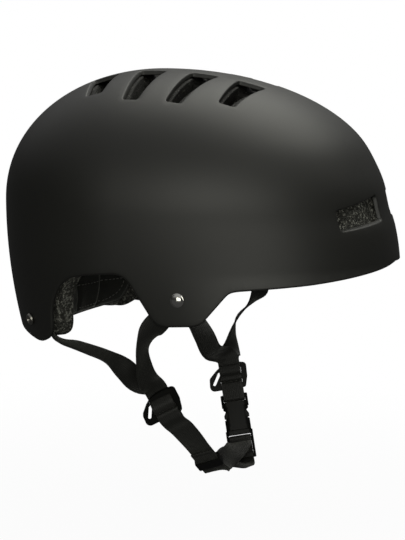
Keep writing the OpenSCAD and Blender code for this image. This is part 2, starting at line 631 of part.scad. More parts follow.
// Buckle: its length runs down from the left divider, s from the divider's middle
buckle_w = slot_w + 3.7;
module at_buckle(s) at_divider(1) translate([0, 0, -s]) children();
crossbar_s = buckle_drop + bar_h / 2;
strap_slot_h = 2.4;
shoulder_len = bar_h + strap_slot_h + 3.4;
mouth_s = buckle_drop + socket_len;
cavity_top = buckle_drop + shoulder_len;
cavity_w = 15.4;
cavity_t = buckle_t - 3.2;
window_s = mouth_s - 11.5;
window_r = 4.1;
window_u = buckle_w / 2 + 0.6;
module buckle_plate(w, t, length) hull()
    for (u = [-1, 1]) for (v = [-1, 1])
        translate([u * (w / 2 - t * 0.35), 0, v * (length / 2 - 1.5)])
            cylinder(h = 3, r = t * 0.35, center = true, $fn = 32);
module buckle_body(w, t, top_s, length) translate([0, 0, -top_s - length / 2]) intersection() {
    scale_plate(w, t, length);
    cube([2 * w, t, 2 * length], center = true);
}
module scale_plate(w, t, length) hull()
    for (u = [-1, 1])
        translate([u * (w / 2 - t / 2), 0, 0]) cylinder(h = length, r = t / 2, center = true, $fn = 32);
module buckle_socket() color(plastic_black) at_buckle(0) difference() {
    union() {
        buckle_body(buckle_w, buckle_t, buckle_drop, shoulder_len);
        buckle_body(buckle_w - 1.4, buckle_t, buckle_drop, socket_len);
        translate([0, 0, -mouth_s + 1.5]) cube([buckle_w - 7, buckle_t, 3], center = true);
    }
    translate([-slot_w / 2, -buckle_t, -buckle_drop - bar_h - strap_slot_h])
        cube([slot_w, 2 * buckle_t, strap_slot_h]);
    for (o = [-1, 1]) translate([0, o * (buckle_t / 2 + 1.6), -buckle_drop - bar_h / 2])
        cube([slot_w, buckle_t, bar_h + 2], center = true);
    translate([-cavity_w / 2, -cavity_t / 2, -mouth_s - 1])
        cube([cavity_w, cavity_t, mouth_s - cavity_top + 1]);
    for (u = [-1, 1]) translate([u * window_u, 0, -window_s])
        rotate([90, 0, 0]) cylinder(h = 2 * buckle_t, r = window_r, center = true, $fn = round_faces);
}
// Tongue: a ladder lock frame with a guide blade; the two prongs bend beside the blade
frame_top = mouth_s + 0.3;
slot_a = frame_top + 2.6;
slot_a_h = 2.6;
grip_bar_s = slot_a + slot_a_h + bar_h / 2;
slot_b = grip_bar_s + bar_h / 2;
frame_end = frame_top + tongue_len;
frame_t = buckle_t * 0.8;
blade_t = cavity_t - 0.8;
prong_len = 13;
pin_r = 1.25;
prong_u = cavity_w / 2 - 1.6;
prong_root = mouth_s - 1.4;
module buckle_tongue() color(plastic_black) at_buckle(0) difference() {
    union() {
        buckle_body(buckle_w, frame_t, frame_top, tongue_len);
        translate([-cavity_w / 2 + 0.4, -blade_t / 2, -frame_top - 1])
            cube([cavity_w - 0.8, blade_t, frame_top + 1 - prong_root + 2]);
        translate([-1.6, -blade_t / 2, -frame_top]) cube([3.2, blade_t, 12]);
    }
    translate([-slot_w / 2, -buckle_t, -slot_a - slot_a_h]) cube([slot_w, 2 * buckle_t, slot_a_h]);
    translate([-slot_w / 2, -buckle_t, -frame_end + 3.2])
        cube([slot_w, 2 * buckle_t, frame_end - 3.2 - slot_b]);
    for (o = [-1, 1]) translate([-slot_w / 2, o * (buckle_t / 2 + 1.6) - buckle_t / 2, -frame_end - 1])
        cube([slot_w, buckle_t, frame_end + 1 - slot_a - 0.9]);
    for (u = [-1, 1]) translate([u * prong_u, 0, -prong_root]) {
        rotate([90, 0, 0]) cylinder(h = 2 * buckle_t, r = pin_r + fit_gap, center = true, $fn = round_faces);
        translate([-1.6, -buckle_t, 0]) cube([3.2, 2 * buckle_t, 3]);
    }
}
module prong(u) color(plastic_black) at_buckle(0) translate([u * prong_u, 0, -prong_root])
    rotate([90, 0, 0]) {
        cylinder(h = blade_t, r = pin_r, center = true, $fn = round_faces);
        linear_extrude(blade_t, center = true)
            polygon([[-u * 1.05, 0], [u * 1.05, 0], [u * 1.1, 7.2], [u * 2.9, 7.9], [u * 2.9, 9.8],
                [u * 1.2, prong_len], [u * 0.3, prong_len + 1], [-u * 0.5, prong_len + 1],
                [-u * 1.1, prong_len]]);
    }

// Buckle strap: a sewn band round the left divider's lower bar and the socket's crossbar
module buckle_strap() color(webbing_black) {
    upper_s = -lower_bar_v;
    ribbon(concat(bar_wrap(1, layer, -upper_s, 180, 0, 8), bar_wrap(1, layer, -crossbar_s, 0, -180, 8)), true);
}

// Chin strap: round the right divider's lower bar, through the keeper and the tongue, and back
layer_step = webbing_t + soft_gap;
grip_layer = 1.6 + soft_gap + webbing_t / 2;
keeper_at = [35.8, -13, -180.4];
keeper_way = unit([0.08, 0.82, -0.57]);
keeper_across = unit([0.94, 0.08, 0.33]);
function grip_point(o, s) = divider_point(1, [0, o, -s]);
chin_start = concat(
    [[divider_point(0, [0, -layer - 0.3, -15]), across_u[0]],
     [divider_point(0, [0, -layer, lower_bar_v - 3.2]), across_u[0]]],
    bar_wrap(0, layer, lower_bar_v, 180, 0, 8),
    [[divider_point(0, [0.6, layer, lower_bar_v - 4.2]), across_u[0]]]);
chin_run = [
    [[31.4, -61, -147], [0.8, 0.33, 0.5]],
    [[33.4, -47, -156.6], [0.78, 0.3, 0.56]],
    [keeper_at - keeper_way * 22, keeper_across],
    [keeper_at - keeper_way * 17, keeper_across],
    [keeper_at + keeper_way * 6, keeper_across],
    [keeper_at + keeper_way * 10, keeper_across],
    [[38.3, 12, -187], [0.8, 0.05, -0.4]],
    [[39.2, 25, -185.6], [0.57, 0, -0.82]],
    [[39.8, 40, -184], [0.75, 0.1, -0.45]],
    [grip_point(-grip_layer - 5, grip_bar_s + 3.5), across_u[1]],
    [grip_point(-grip_layer - 1.2, grip_bar_s + 2), across_u[1]]
];
grip_wrap = bar_wrap(1, grip_layer, -grip_bar_s, 180, 0, 8);
// The free end lies on the run's outer side, back through the keeper
function beside(run, i, gap) =
    let (last = len(run) - 1, way = unit(run[min(i + 1, last)][0] - run[max(i - 1, 0)][0]))
    [run[i][0] + unit(cross(way, run[i][1])) * gap, run[i][1]];
tail_run = concat(
    [[grip_point(grip_layer, grip_bar_s + 4), across_u[1]],
     [grip_point(grip_layer + 0.4, frame_end), across_u[1]],
     [grip_point(-2.5, frame_end + 5), across_u[1]],
     [[41, 42, -194], [0.8, 0.1, -0.5]]],
    [for (i = [7 : -1 : 3]) beside(chin_run, i, layer_step + (i > 5 ? 0.5 : 0))]);
module chin_strap() color(webbing_black)
    ribbon(smooth_path(concat(chin_start, chin_run, grip_wrap, tail_run), 2));

// Strap keeper: a moulded band that holds the strap's free end
module strap_keeper() color(plastic_black) {
    inner_w = webbing_w + 2 * soft_gap;
    inner_h = webbing_t + layer_step + 2 * soft_gap;
    keeper_up = unit(cross(keeper_way, keeper_across));
    middle = keeper_at + keeper_up * layer_step / 2;
    multmatrix([
        [keeper_across.x, -keeper_up.x, keeper_way.x, middle.x],
        [keeper_across.y, -keeper_up.y, keeper_way.y, middle.y],
        [keeper_across.z, -keeper_up.z, keeper_way.z, middle.z],
        [0, 0, 0, 1]])
        linear_extrude(keeper_len, center = true) difference() {
            slot_outline(-inner_w / 2 - 1.3, inner_w / 2 + 1.3, -inner_h / 2 - 1.3, inner_h / 2 + 1.3, 1.4);
            square([inner_w, inner_h], center = true);
        }
}

shell();
foam_liner();
crown_pad();
brow_pad();
side_pad(-1);  // side_pad_right
side_pad(1);  // side_pad_left
nape_pad();
hook_patches();
side_rivets();
rear_rivets();
side_washers();
rear_washers();
front_leg(0);  // front_strap_leg_right
front_leg(1);  // front_strap_leg_left
rear_leg(0);  // rear_strap_leg_right
rear_leg(1);  // rear_strap_leg_left
divider(0);  // strap_divider_right
divider(1);  // strap_divider_left
buckle_strap();
buckle_socket();
buckle_tongue();
prong(1);  // prong_front
prong(-1);  // prong_rear
chin_strap();
strap_keeper();
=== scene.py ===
# Skate helmet: a matte moulded shell over a bead foam liner, with sewn comfort pads and a riveted
# webbing harness that closes with a side release buckle. Each section makes one piece, in the
# order in which the helmet is put together. Drawings are in millimetres, meshes in metres.
import math

import bmesh
import bpy
import numpy as np
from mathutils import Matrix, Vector, geometry, kdtree


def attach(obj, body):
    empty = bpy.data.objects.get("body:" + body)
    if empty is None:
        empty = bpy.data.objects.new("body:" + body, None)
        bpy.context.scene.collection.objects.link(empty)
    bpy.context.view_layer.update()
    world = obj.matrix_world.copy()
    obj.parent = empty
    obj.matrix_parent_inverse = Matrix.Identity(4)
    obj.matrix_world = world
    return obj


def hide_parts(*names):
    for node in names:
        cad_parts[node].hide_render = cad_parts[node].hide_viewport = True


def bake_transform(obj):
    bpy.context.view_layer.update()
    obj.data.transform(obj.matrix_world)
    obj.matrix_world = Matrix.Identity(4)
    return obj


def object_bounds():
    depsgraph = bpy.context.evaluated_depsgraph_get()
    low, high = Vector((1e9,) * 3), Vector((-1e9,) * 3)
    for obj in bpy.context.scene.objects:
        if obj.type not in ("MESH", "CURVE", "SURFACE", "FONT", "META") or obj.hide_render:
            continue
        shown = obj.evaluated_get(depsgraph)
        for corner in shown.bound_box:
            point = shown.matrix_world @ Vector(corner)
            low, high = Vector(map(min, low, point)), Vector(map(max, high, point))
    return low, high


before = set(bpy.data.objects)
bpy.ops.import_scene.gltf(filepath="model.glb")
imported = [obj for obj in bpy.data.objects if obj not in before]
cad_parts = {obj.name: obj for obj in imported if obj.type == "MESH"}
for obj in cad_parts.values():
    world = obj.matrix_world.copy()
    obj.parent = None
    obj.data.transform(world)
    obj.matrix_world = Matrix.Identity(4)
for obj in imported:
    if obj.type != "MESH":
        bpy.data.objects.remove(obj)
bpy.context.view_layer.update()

# ------------------------ Shell
# One injection moulding in matte black ABS, 3 mm thick, that dips to an ear flap on each side and
# to a tab behind each ear. Vents are cut through it with a soft, drafted edge, and the rim is
# rounded over. It is drawn as a flat pattern with the crown in the middle, laid on the head form.
REACH_AHEAD, REACH_BEHIND, HALF_WIDTH, CROWN = 153.0, 108.0, 108.0, 88.0
PLAN_POWER, DOME_POWER = 2.15, 2.08
DOME_RUN = 140.0  # on the flat pattern, from the crown to the widest level
WALL = 3.0
DRAW_IN, DRAW_IN_AHEAD, DRAW_IN_BEHIND = 0.12, -0.57, 0.01  # 100 mm below the widest level
FULL_FRONT, FULL_LEVEL, FULL_SPREAD, FULL_FALL = 4.7, -17.0, 16.0, 0.0106
FLAT_FRONT, FLAT_LEVEL, FLAT_SPREAD = 1.6, 27.0, 14.0


def unit(v):
    return np.asarray(v, float) / np.linalg.norm(v)


def units(rows):
    return rows / np.linalg.norm(rows, axis=1)[:, None]


def neighbour_way(line):
    """At each point of a closed line, the way from the point before to the one after."""
    return np.roll(line, -1, 0) - np.roll(line, 1, 0)


def plan_reach(angle, inset):
    reach = np.where(np.cos(angle) > 0, REACH_AHEAD, REACH_BEHIND) - inset
    return ((np.abs(np.cos(angle)) / reach) ** PLAN_POWER
            + (np.abs(np.sin(angle)) / (HALF_WIDTH - inset)) ** PLAN_POWER) ** (-1 / PLAN_POWER)


def draw_in(angle):
    return (DRAW_IN + DRAW_IN_AHEAD * np.maximum(np.cos(angle), 0) ** 2
            + DRAW_IN_BEHIND * np.maximum(-np.cos(angle), 0) ** 2)


def front_fullness(angle, level):
    """The front runs out in one even curve from the dome to the rim."""
    above = (FULL_FRONT * np.exp(-((level - FULL_LEVEL) / FULL_SPREAD) ** 2)
             - FLAT_FRONT * np.exp(-((level - FLAT_LEVEL) / FLAT_SPREAD) ** 2))
    below = np.maximum(FULL_FRONT - FULL_FALL * (level - FULL_LEVEL) ** 2, 0)
    return np.where(level > FULL_LEVEL, above, below) * np.maximum(np.cos(angle), 0) ** 4


def dome_rise(share):
    """The angle over the dome at which it reaches a share of its widest reach."""
    return np.arcsin(np.clip(share, 0, 1) ** (DOME_POWER / 2))


def on_form(pattern, inset=0.0):
    """Points of the flat pattern, laid on the head form at a depth under the outer skin."""
    pattern = np.atleast_2d(pattern)
    run, angle = np.hypot(pattern[:, 0], pattern[:, 1]), np.arctan2(pattern[:, 1], pattern[:, 0])
    rise, below = np.clip(run / DOME_RUN, 0, 1) * math.pi / 2, np.maximum(run - DOME_RUN, 0)
    share = np.where(run < DOME_RUN, np.sin(rise) ** (2 / DOME_POWER),
                     1 - draw_in(angle) * (below / 100) ** 2)
    level = np.where(run < DOME_RUN,
                     (CROWN - inset) * np.maximum(np.cos(rise), 0) ** (2 / DOME_POWER), -below)
    reach = plan_reach(angle, inset) * share + front_fullness(angle, level)
    return np.stack([reach * np.cos(angle), reach * np.sin(angle), level], 1)


def at_level(angle, level):
    """Flat pattern point for an angle from the front, in degrees, and a level."""
    angle, level = np.radians(angle), np.asarray(level, float)
    rise = np.arccos(np.clip(level / CROWN, 0, 1) ** (DOME_POWER / 2))
    run = np.where(level > 0, rise / (math.pi / 2) * DOME_RUN, DOME_RUN - level)
    return np.stack([run * np.cos(angle), run * np.sin(angle)], -1)


def round_corner(before, at, after, radius, step=None):
    """The arc that takes the place of a corner, in parts shorter than step or in twelve."""
    back, ahead = unit(before - at), unit(after - at)
    half = math.acos(np.clip(back @ ahead, -1, 1)) / 2
    centre = at + unit(back + ahead) * radius / math.sin(half)
    first, last = (math.atan2(*(at + way * radius / math.tan(half) - centre)[::-1])
                   for way in (back, ahead))
    sweep = (last - first + 3 * math.pi) % (2 * math.pi) - math.pi
    parts = max(4, int(abs(sweep) * radius / step) + 1) if step else 12
    return [centre + radius * np.array([math.cos(first + sweep * k / parts),
                                        math.sin(first + sweep * k / parts)])
            for k in range(parts + 1)]


def anticlockwise(ring):
    turn = np.sum(ring[:, 0] * np.roll(ring[:, 1], -1) - ring[:, 1] * np.roll(ring[:, 0], -1))
    return ring if turn > 0 else ring[::-1]


def rounded(corners, radius, step):
    """A closed outline with round corners, with points no further apart than step."""
    corners, outline, dense = np.array(corners, float), [], []
    for i, at in enumerate(corners):
        outline += round_corner(corners[i - 1], at, corners[(i + 1) % len(corners)], radius, step)
    for i, at in enumerate(outline):
        ahead = outline[(i + 1) % len(outline)]
        parts = max(1, math.ceil(np.linalg.norm(ahead - at) / step))
        dense += [at + (ahead - at) * k / parts for k in range(parts)]
    return anticlockwise(np.array(dense))


def seen_from_above(outline):
    angle = np.arctan2(outline[:, 1], outline[:, 0])
    share = np.hypot(outline[:, 0], outline[:, 1]) / plan_reach(angle, 0)
    run = dome_rise(share) / (math.pi / 2) * DOME_RUN
    return np.stack([run * np.cos(angle), run * np.sin(angle)], 1)


def seen_from_front(outline, behind=False):
    """Finds the angle at which the form has the wanted distance from the middle plane."""
    low, high = np.zeros(len(outline)), np.full(len(outline), 80.0)
    for _ in range(40):
        mid = (low + high) / 2
        y = on_form(at_level(180 - mid if behind else mid, outline[:, 1]))[:, 1]
        near = y < abs(outline[:, 0])
        low, high = np.where(near, mid, low), np.where(near, high, mid)
    pattern = at_level(180 - low if behind else low, outline[:, 1])
    pattern[:, 1] *= np.sign(outline[:, 0])
    return anticlockwise(pattern)


def grown(ring, distance):
    """A closed ring of the flat pattern, moved outwards by a true distance on the form."""
    e = 0.05
    along_x = (on_form(ring + [e, 0]) - on_form(ring - [e, 0])) / (2 * e)
    along_y = (on_form(ring + [0, e]) - on_form(ring - [0, e])) / (2 * e)
    aside = np.cross(neighbour_way(on_form(ring)), np.cross(along_x, along_y))
    aside *= distance / np.linalg.norm(aside, axis=1)[:, None]
    a, b, c = (along_x ** 2).sum(1), (along_x * along_y).sum(1), (along_y ** 2).sum(1)
    u, v = (along_x * aside).sum(1), (along_y * aside).sum(1)
    det = a * c - b * b
    return ring + np.stack([(c * u - b * v) / det, (a * v - b * u) / det], 1)


def within(points, ring):
    """Which points lie inside a closed ring."""
    x, y = points[:, 0][:, None], points[:, 1][:, None]
    x0, y0, x1, y1 = ring[:, 0], ring[:, 1], np.roll(ring[:, 0], -1), np.roll(ring[:, 1], -1)
    crossed = ((y0 > y) != (y1 > y)) & (x < (x1 - x0) * (y - y0) / (y1 - y0 + 1e-12) + x0)
    return crossed.sum(1) % 2 == 1


def on_wall(points, rings):
    """Which points lie inside the first ring and outside the others."""
    inside = within(points, rings[0])
    for ring in rings[1:]:
        inside &= ~within(points, ring)
    return inside


# The rim, from brow to nape: angle from the front, level, corner radius
RIM_CORNERS = [(0, -37, 0), (15, -40, 0), (32, -44, 0), (52.5, -47.5, 6), (61.2, -70.5, 9),
               (75, -72.5, 11), (87, -37.5, 14), (101, -40, 0), (111.3, -43.5, 30),
               (118.5, -62, 40), (121, -86, 13), (130, -91.5, 20), (148, -87.5, 0), (180, -83, 0)]
RIM_STRETCH = 1.9  # millimetres to a degree on the drawing of the rim
RIM_EASE = 0.65  # how far the long stretches are eased, so that no kink shows in the rim


def rim_ring(lift, step):
    """The rim as a closed ring of the flat pattern, lifted towards the crown."""
    flat = [np.array([angle * RIM_STRETCH, level]) for angle, level, _ in RIM_CORNERS]
    line = []
    for i, (_, _, radius) in enumerate(RIM_CORNERS):
        line += round_corner(*flat[i - 1:i + 2], radius) if radius else [flat[i]]
    line = np.array(line)
    gone = np.concatenate([[0], np.cumsum(np.linalg.norm(np.diff(line, axis=0), axis=1))])
    at = np.linspace(0, gone[-1], int(gone[-1] / step) + 1)
    half = np.stack([np.interp(at, gone, line[:, 0]), np.interp(at, gone, line[:, 1])], 1)
    ease = np.convolve(np.pad(half[:, 1], 3, mode="edge"), np.ones(7) / 7, mode="valid")
    half[1:-1, 1] = ((1 - RIM_EASE) * half[:, 1] + RIM_EASE * ease)[1:-1]
    both = np.concatenate([half, (half[1:-1] * [-1, 1])[::-1]])
    return at_level(both[:, 0] / RIM_STRETCH, both[:, 1] + lift)


def linked(name, data):
    """A new object in the scene, made of a mesh, a lamp or a camera."""
    thing = bpy.data.objects.new(name, data)
    bpy.context.scene.collection.objects.link(thing)
    return thing


def faced_out(name, mesh):
    """A smooth object of a mesh, with its faces turned outwards."""
    shape = bmesh.new()
    shape.from_mesh(mesh)
    bmesh.ops.recalc_face_normals(shape, faces=shape.faces)
    shape.to_mesh(mesh)
    shape.free()
    mesh.shade_smooth()
    return linked(name, mesh)


def shaped(name, points, faces, marks=None):
    """An object from points in millimetres; marks are the corners of its UV map."""
    mesh = bpy.data.meshes.new(name)
    mesh.from_pydata((np.asarray(points) / 1000).tolist(), [], faces)
    if marks:
        layer = mesh.uv_layers.new(name="millimetres")
        layer.data.foreach_set("uv", np.array(marks, float).ravel())
    return faced_out(name, mesh)


def moulded_wall(name, rim, openings, rim_edge, opening_edge, depth_in, depth_out, pitch):
    """A closed wall on the head form, with triangles of about one pitch. An edge is a list of
    (growth, share of the thickness); the wall grows out over the rim, and into an opening."""
    rings = [rim] + openings
    edges = [rim_edge] + [[(-growth, share) for growth, share in opening_edge]] * len(openings)
    starts, ends = ([grown(ring, edge[k][0]) for ring, edge in zip(rings, edges)] for k in (0, -1))
    size = np.abs(starts[0]).max() + pitch
    columns, row_step = np.arange(-size, size, pitch), pitch * 0.866  # even triangles
    grid = np.concatenate([np.stack([columns + pitch / 2 * (i % 2), np.full(len(columns), y)], 1)
                           for i, y in enumerate(np.arange(-size, size, row_step))])
    grid = grid[on_wall(grid, starts)]
    tree = kdtree.KDTree(sum(map(len, starts)))
    for i, p in enumerate(np.concatenate(starts)):
        tree.insert((*p, 0), i)
    tree.balance()
    grid = np.array([p for p in grid if tree.find((*p, 0))[2] > pitch * 0.6])
    flat = np.concatenate(starts + [grid])
    bounds, first = [], 0
    for ring in starts:
        bounds += [(first + i, first + (i + 1) % len(ring)) for i in range(len(ring))]
        first += len(ring)
    _, _, tris, origins, _, _ = geometry.delaunay_2d_cdt(
        [Vector(p) for p in flat], bounds, [], 0, 1e-5, True)
    tris = np.array([[origins[i][0] for i in t] for t in tris])
    tris = tris[on_wall(flat[tris].mean(1), starts)]
    a, b, c = flat[tris[:, 0]], flat[tris[:, 1]], flat[tris[:, 2]]
    turn = (b - a)[:, 0] * (c - a)[:, 1] - (b - a)[:, 1] * (c - a)[:, 0]
    tris[turn < 0] = tris[turn < 0][:, ::-1]
    count = len(flat)
    inner_flat = np.concatenate(ends + [grid])
    points = [on_form(flat, depth_out(flat)), on_form(inner_flat, depth_in(inner_flat))]
    faces = tris.tolist() + (tris[:, ::-1] + count).tolist()
    total, first = 2 * count, 0
    for ring, edge in zip(rings, edges):
        loops = [np.arange(first, first + len(ring))]
        for growth, share in edge[1:-1]:
            at = grown(ring, growth)
            points.append(on_form(at, depth_out(at) * (1 - share) + depth_in(at) * share))
            loops.append(np.arange(total, total + len(ring)))
            total += len(ring)
        loops.append(loops[0] + count)
        for before, now in zip(loops, loops[1:]):
            faces += np.stack([before, np.roll(before, -1), np.roll(now, -1), now], 1).tolist()
        first += len(ring)
    return shaped(name, np.concatenate(points), faces)


# Top vents: middle of the narrow lower end and of the wide upper end, and reach to the side
TOP_VENTS = [(-33, -38, 53), (-3.5, -4, 64), (26.5, 33, 64), (60.5, 66, 55.5)]
NARROW, WIDE, VENT_INNER = 5, 9, 13.5  # half widths, and distance from the middle plane
# Front and rear vents: inner and outer end, and the levels of the four corners
END_VENTS = [(15, 56, (-8, -11, 1.5, 8), False), (13, 33, (-6, -2, 9, 12), True)]
VENT_STEP = 1.6  # between points of an outline, at the most


def top_vents(spare, radius):
    """The eight on top, drawn as seen from above and made smaller by spare all round."""
    outlines = []
    for low, high, reach in TOP_VENTS:
        for side in (-1, 1):
            far, near = side * (reach - spare), side * (VENT_INNER + spare)
            outlines.append(seen_from_above(rounded(
                [(low - NARROW + spare, far), (low + NARROW - spare, far),
                 (high + WIDE - spare, near), (high - WIDE + spare, near)], radius, VENT_STEP)))
    return outlines


def end_vents(spare, radius):
    """Two in front and two behind, drawn as seen from the front."""
    outlines = []
    for inner, outer, (z1, z2, z3, z4), behind in END_VENTS:
        for side in (-1, 1):
            near, far = side * (inner + spare), side * (outer - spare)
            outlines.append(seen_from_front(rounded(
                [(near, z1 + spare), (far, z2 + spare), (far, z3 - spare), (near, z4 - spare)],
                radius, VENT_STEP), behind))
    return outlines


class Tone:
    """A shader socket that takes part in arithmetic."""

    def __init__(self, paint, socket):
        self.paint, self.socket = paint, socket

    def _sum(self, operation, *values):
        return self.paint.node("ShaderNodeMath", {"operation": operation}, dict(enumerate(values)))

    def __add__(self, other): return self._sum("ADD", self, other)
    def __radd__(self, other): return self._sum("ADD", other, self)
    def __sub__(self, other): return self._sum("SUBTRACT", self, other)
    def __rsub__(self, other): return self._sum("SUBTRACT", other, self)
    def __mul__(self, other): return self._sum("MULTIPLY", self, other)
    def __rmul__(self, other): return self._sum("MULTIPLY", other, self)
    def __truediv__(self, other): return self._sum("DIVIDE", self, other)
    def __pow__(self, other): return self._sum("POWER", self, other)
    def __mod__(self, other): return self._sum("FLOORED_MODULO", self, other)
    def wave(self): return self._sum("SINE", self)
    def size(self): return self._sum("ABSOLUTE", self)
    def floor(self): return self._sum("FLOOR", self)

    def between(self, low, high):
        """0 at low and 1 at high, with a soft start and end."""
        return self.paint.node("ShaderNodeMapRange", {"interpolation_type": "SMOOTHSTEP"},
                               {"Value": self, "From Min": low, "From Max": high})


class Paint:
    """The nodes of one material, or of the world."""

    def __init__(self, name, owner=None):
        self.material = owner or bpy.data.materials.new(name)
        self.material.use_nodes = True
        self.tree = self.material.node_tree
        self.tree.nodes.clear()

    def node(self, kind, settings=None, inputs=None, output=0):
        """Adds a node, with its settings first and then its inputs, and gives one output."""
        self.last = self.tree.nodes.new(kind)
        for key, value in (settings or {}).items():
            setattr(self.last, key, value)
        for key, value in (inputs or {}).items():
            socket = self.last.inputs[key]
            if isinstance(value, Tone):
                self.tree.links.new(value.socket, socket)
            else:
                plain = socket.type == "RGBA" and len(value) == 3
                socket.default_value = (*value, 1) if plain else value
        return self.also(output) if self.last.outputs else None

    def also(self, output):
        """Another output of the last node."""
        return Tone(self, self.last.outputs[output])

    def place(self):
        return self.node("ShaderNodeTexCoord", output="Object")

    def noise(self, scale, detail=3.0, rough=0.5):
        return self.node("ShaderNodeTexNoise", None, {"Vector": self.place(), "Scale": scale,
                                                      "Detail": detail, "Roughness": rough})

    def mix(self, share, a, b):
        return self.node("ShaderNodeMix", {"data_type": "RGBA"}, {0: share, 6: a, 7: b}, 2)

    def bump(self, height, depth, strength):
        """Raises the surface by up to depth, in metres, where height is 1."""
        return self.node("ShaderNodeBump", None,
                         {"Height": height, "Distance": depth, "Strength": strength})

    def surface(self, **inputs):
        names = {"colour": "Base Color", "rough": "Roughness", "metal": "Metallic",
                 "normal": "Normal", "gloss": "Specular IOR Level", "sheen": "Sheen Weight",
                 "sheen_rough": "Sheen Roughness", "sheen_tint": "Sheen Tint"}
        shader = self.node("ShaderNodeBsdfPrincipled", None,
                           {names[k]: v for k, v in inputs.items()})
        self.node("ShaderNodeOutputMaterial", None, {"Surface": shader})
        return self.material


def cover(piece, material):
    piece.data.materials.clear()
    piece.data.materials.append(material)


def finish_piece(piece, material, body, slot, *nodes):
    cover(piece, material)
    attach(piece, body)
    if nodes:
        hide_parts(*nodes)


# A fine moulded grain, and a gloss that varies softly from handling
paint = Paint("matte_shell")
grain = paint.noise(2600, 2.0)
cloud = paint.noise(14, 4.0, 0.6)
SHELL_MATTE = paint.surface(
    colour=paint.mix(cloud, (0.0078, 0.0079, 0.0068), (0.0110, 0.0111, 0.0096)),
    rough=0.46 + 0.07 * cloud + 0.05 * grain,
    normal=paint.bump(grain, 0.00003, 0.5), gloss=0.5)

finish_piece(moulded_wall(
    "shell_moulding", rim_ring(0, 1.5), top_vents(0, 1.6) + end_vents(0, 1.6),
    [(-0.9, 0), (-0.2, 0.04), (0.4, 0.2), (0.7, 0.5), (0.4, 0.8), (-0.2, 0.96), (-0.9, 1)],
    [(-1.5, 0), (-1.05, 0.03), (-0.7, 0.12), (-0.45, 0.28), (0.15, 0.75), (0.2, 0.9), (-0.1, 1)],
    lambda p: np.full(len(p), WALL), lambda p: np.zeros(len(p)), 3.0),
    SHELL_MATTE, "helmet", "shell", "shell")


# ------------------------ Liner
# One block of moulded bead foam, 18 mm thick. It is cut through under the top vents, joined there
# by air channels over the crown, scooped out behind the end vents, and set in where straps run.
LINER_OUT, LINER_IN, STRAP_POCKET = 3.4, 21.4, 7.6
VENT_SCOOP, CHANNEL, CHANNEL_HALF_WIDTH, CHANNEL_HALF_SPAN = 3, 5, 8.5, 17.5


def liner_outside(p):
    at = on_form(p)
    step = np.clip((-30 - at[:, 2]) / 14, 0, 1)
    depth = LINER_OUT + (STRAP_POCKET - LINER_OUT) * step ** 2 * (3 - 2 * step)
    for ring in end_vents(-2.2, 3):
        depth += VENT_SCOOP * within(p, ring)
    for middle in (-38, -4, 33, 66):
        near = np.clip((CHANNEL_HALF_WIDTH - np.abs(at[:, 0] - middle)) / 3, 0, 1)
        depth += CHANNEL * near * (np.abs(at[:, 1]) < CHANNEL_HALF_SPAN) * (at[:, 2] > 0)
    return depth


# Dark beads pressed together, each with its own shade, dark seams and pale grains; above the
# widest level, where the foam lies in shade under the shell and in the vents, its colour is
# painted dark as painted shade and shows only a few pale specks
paint = Paint("bead_foam")
BEADS = {"Scale": 690, "Randomness": 0.9}
spots = paint.node("ShaderNodeTexVoronoi", {"feature": "F1"}, {"Vector": paint.place(), **BEADS}, 1)
cells = paint.also("Distance")
shade = paint.node("ShaderNodeSeparateColor", None, {0: spots})
seam = paint.node("ShaderNodeTexVoronoi", {"feature": "DISTANCE_TO_EDGE"},
                  {"Vector": paint.place(), **BEADS}).between(0.02, 0.16)
fleck = paint.noise(1500, 2.0, 0.6).between(0.53, 0.66)
patch = paint.noise(120, 3.0, 0.7)
pale = paint.noise(430, 3.0, 0.7).between(0.61, 0.70)
beads = (shade.between(0.45, 1.0) * 0.85 + fleck * 0.6) * (0.35 + 0.65 * seam) * (0.5 + 0.8 * patch)
height = paint.node("ShaderNodeSeparateXYZ", None, {0: paint.place()}, 2)
# Painted shade: from 12 to 35 mm above the widest level the foam's colour is made dark, where it
# lies in shade under the shell and in the vents
unshaded_share = 1 - 0.92 * height.between(0.012, 0.035)
BEAD_FOAM = paint.surface(
    colour=paint.mix((beads * 0.85 + 0.05) * unshaded_share + (1 - unshaded_share) * pale * 0.8,
                     (0.007, 0.007, 0.006), (0.30, 0.30, 0.27)),
    rough=0.5 + 0.2 * patch,
    normal=paint.bump(seam * 0.8 - cells * 0.5 + fleck * 0.15, 0.0007, 0.8), gloss=0.2)

LINER_EDGE = [(-0.5, 0), (-0.12, 0.02), (0, 0.06), (0, 0.35)]
LINER_EDGE += [(growth, 1 - share) for growth, share in LINER_EDGE[::-1]]
finish_piece(moulded_wall("bead_foam_liner", rim_ring(2, 1.5), top_vents(2.5, 2.5), LINER_EDGE,
                          LINER_EDGE, lambda p: np.full(len(p), LINER_IN), liner_outside, 2.8),
             BEAD_FOAM, "helmet", "foam", "foam_liner")


# ------------------------ Comfort pads
# Five knit-covered foam cushions: brow, two sides, nape and crown. Each has a bound edge, a row
# of stitches beside it and sewn channels, and hangs on hook patches that are glued to the liner.
PAD_BACK, PAD_EDGE, PAD_T = 23.7, 2.2, 10.0
CHANNEL_DEPTH, PUFF_ROOM, MOST_PUFF = 0.5, 1.4, 1.6
COVER_PRESSURE, COVER_FRAMES = 4.0, 20
CORNER_PULL = 0.3  # how far a pad's sides are drawn in towards its corners


def settled(piece):
    """The piece with its modifiers applied."""
    bpy.context.view_layer.update()
    graph = bpy.context.evaluated_depsgraph_get()
    mesh = bpy.data.meshes.new_from_object(piece.evaluated_get(graph), depsgraph=graph)
    piece.modifiers.clear()
    piece.data = mesh
    return piece


def eased(p, q):
    """Both shares of a pad's half sizes, with its outline rounded."""
    return p * np.sqrt(1 - CORNER_PULL * q * q), q * np.sqrt(1 - CORNER_PULL * p * p)


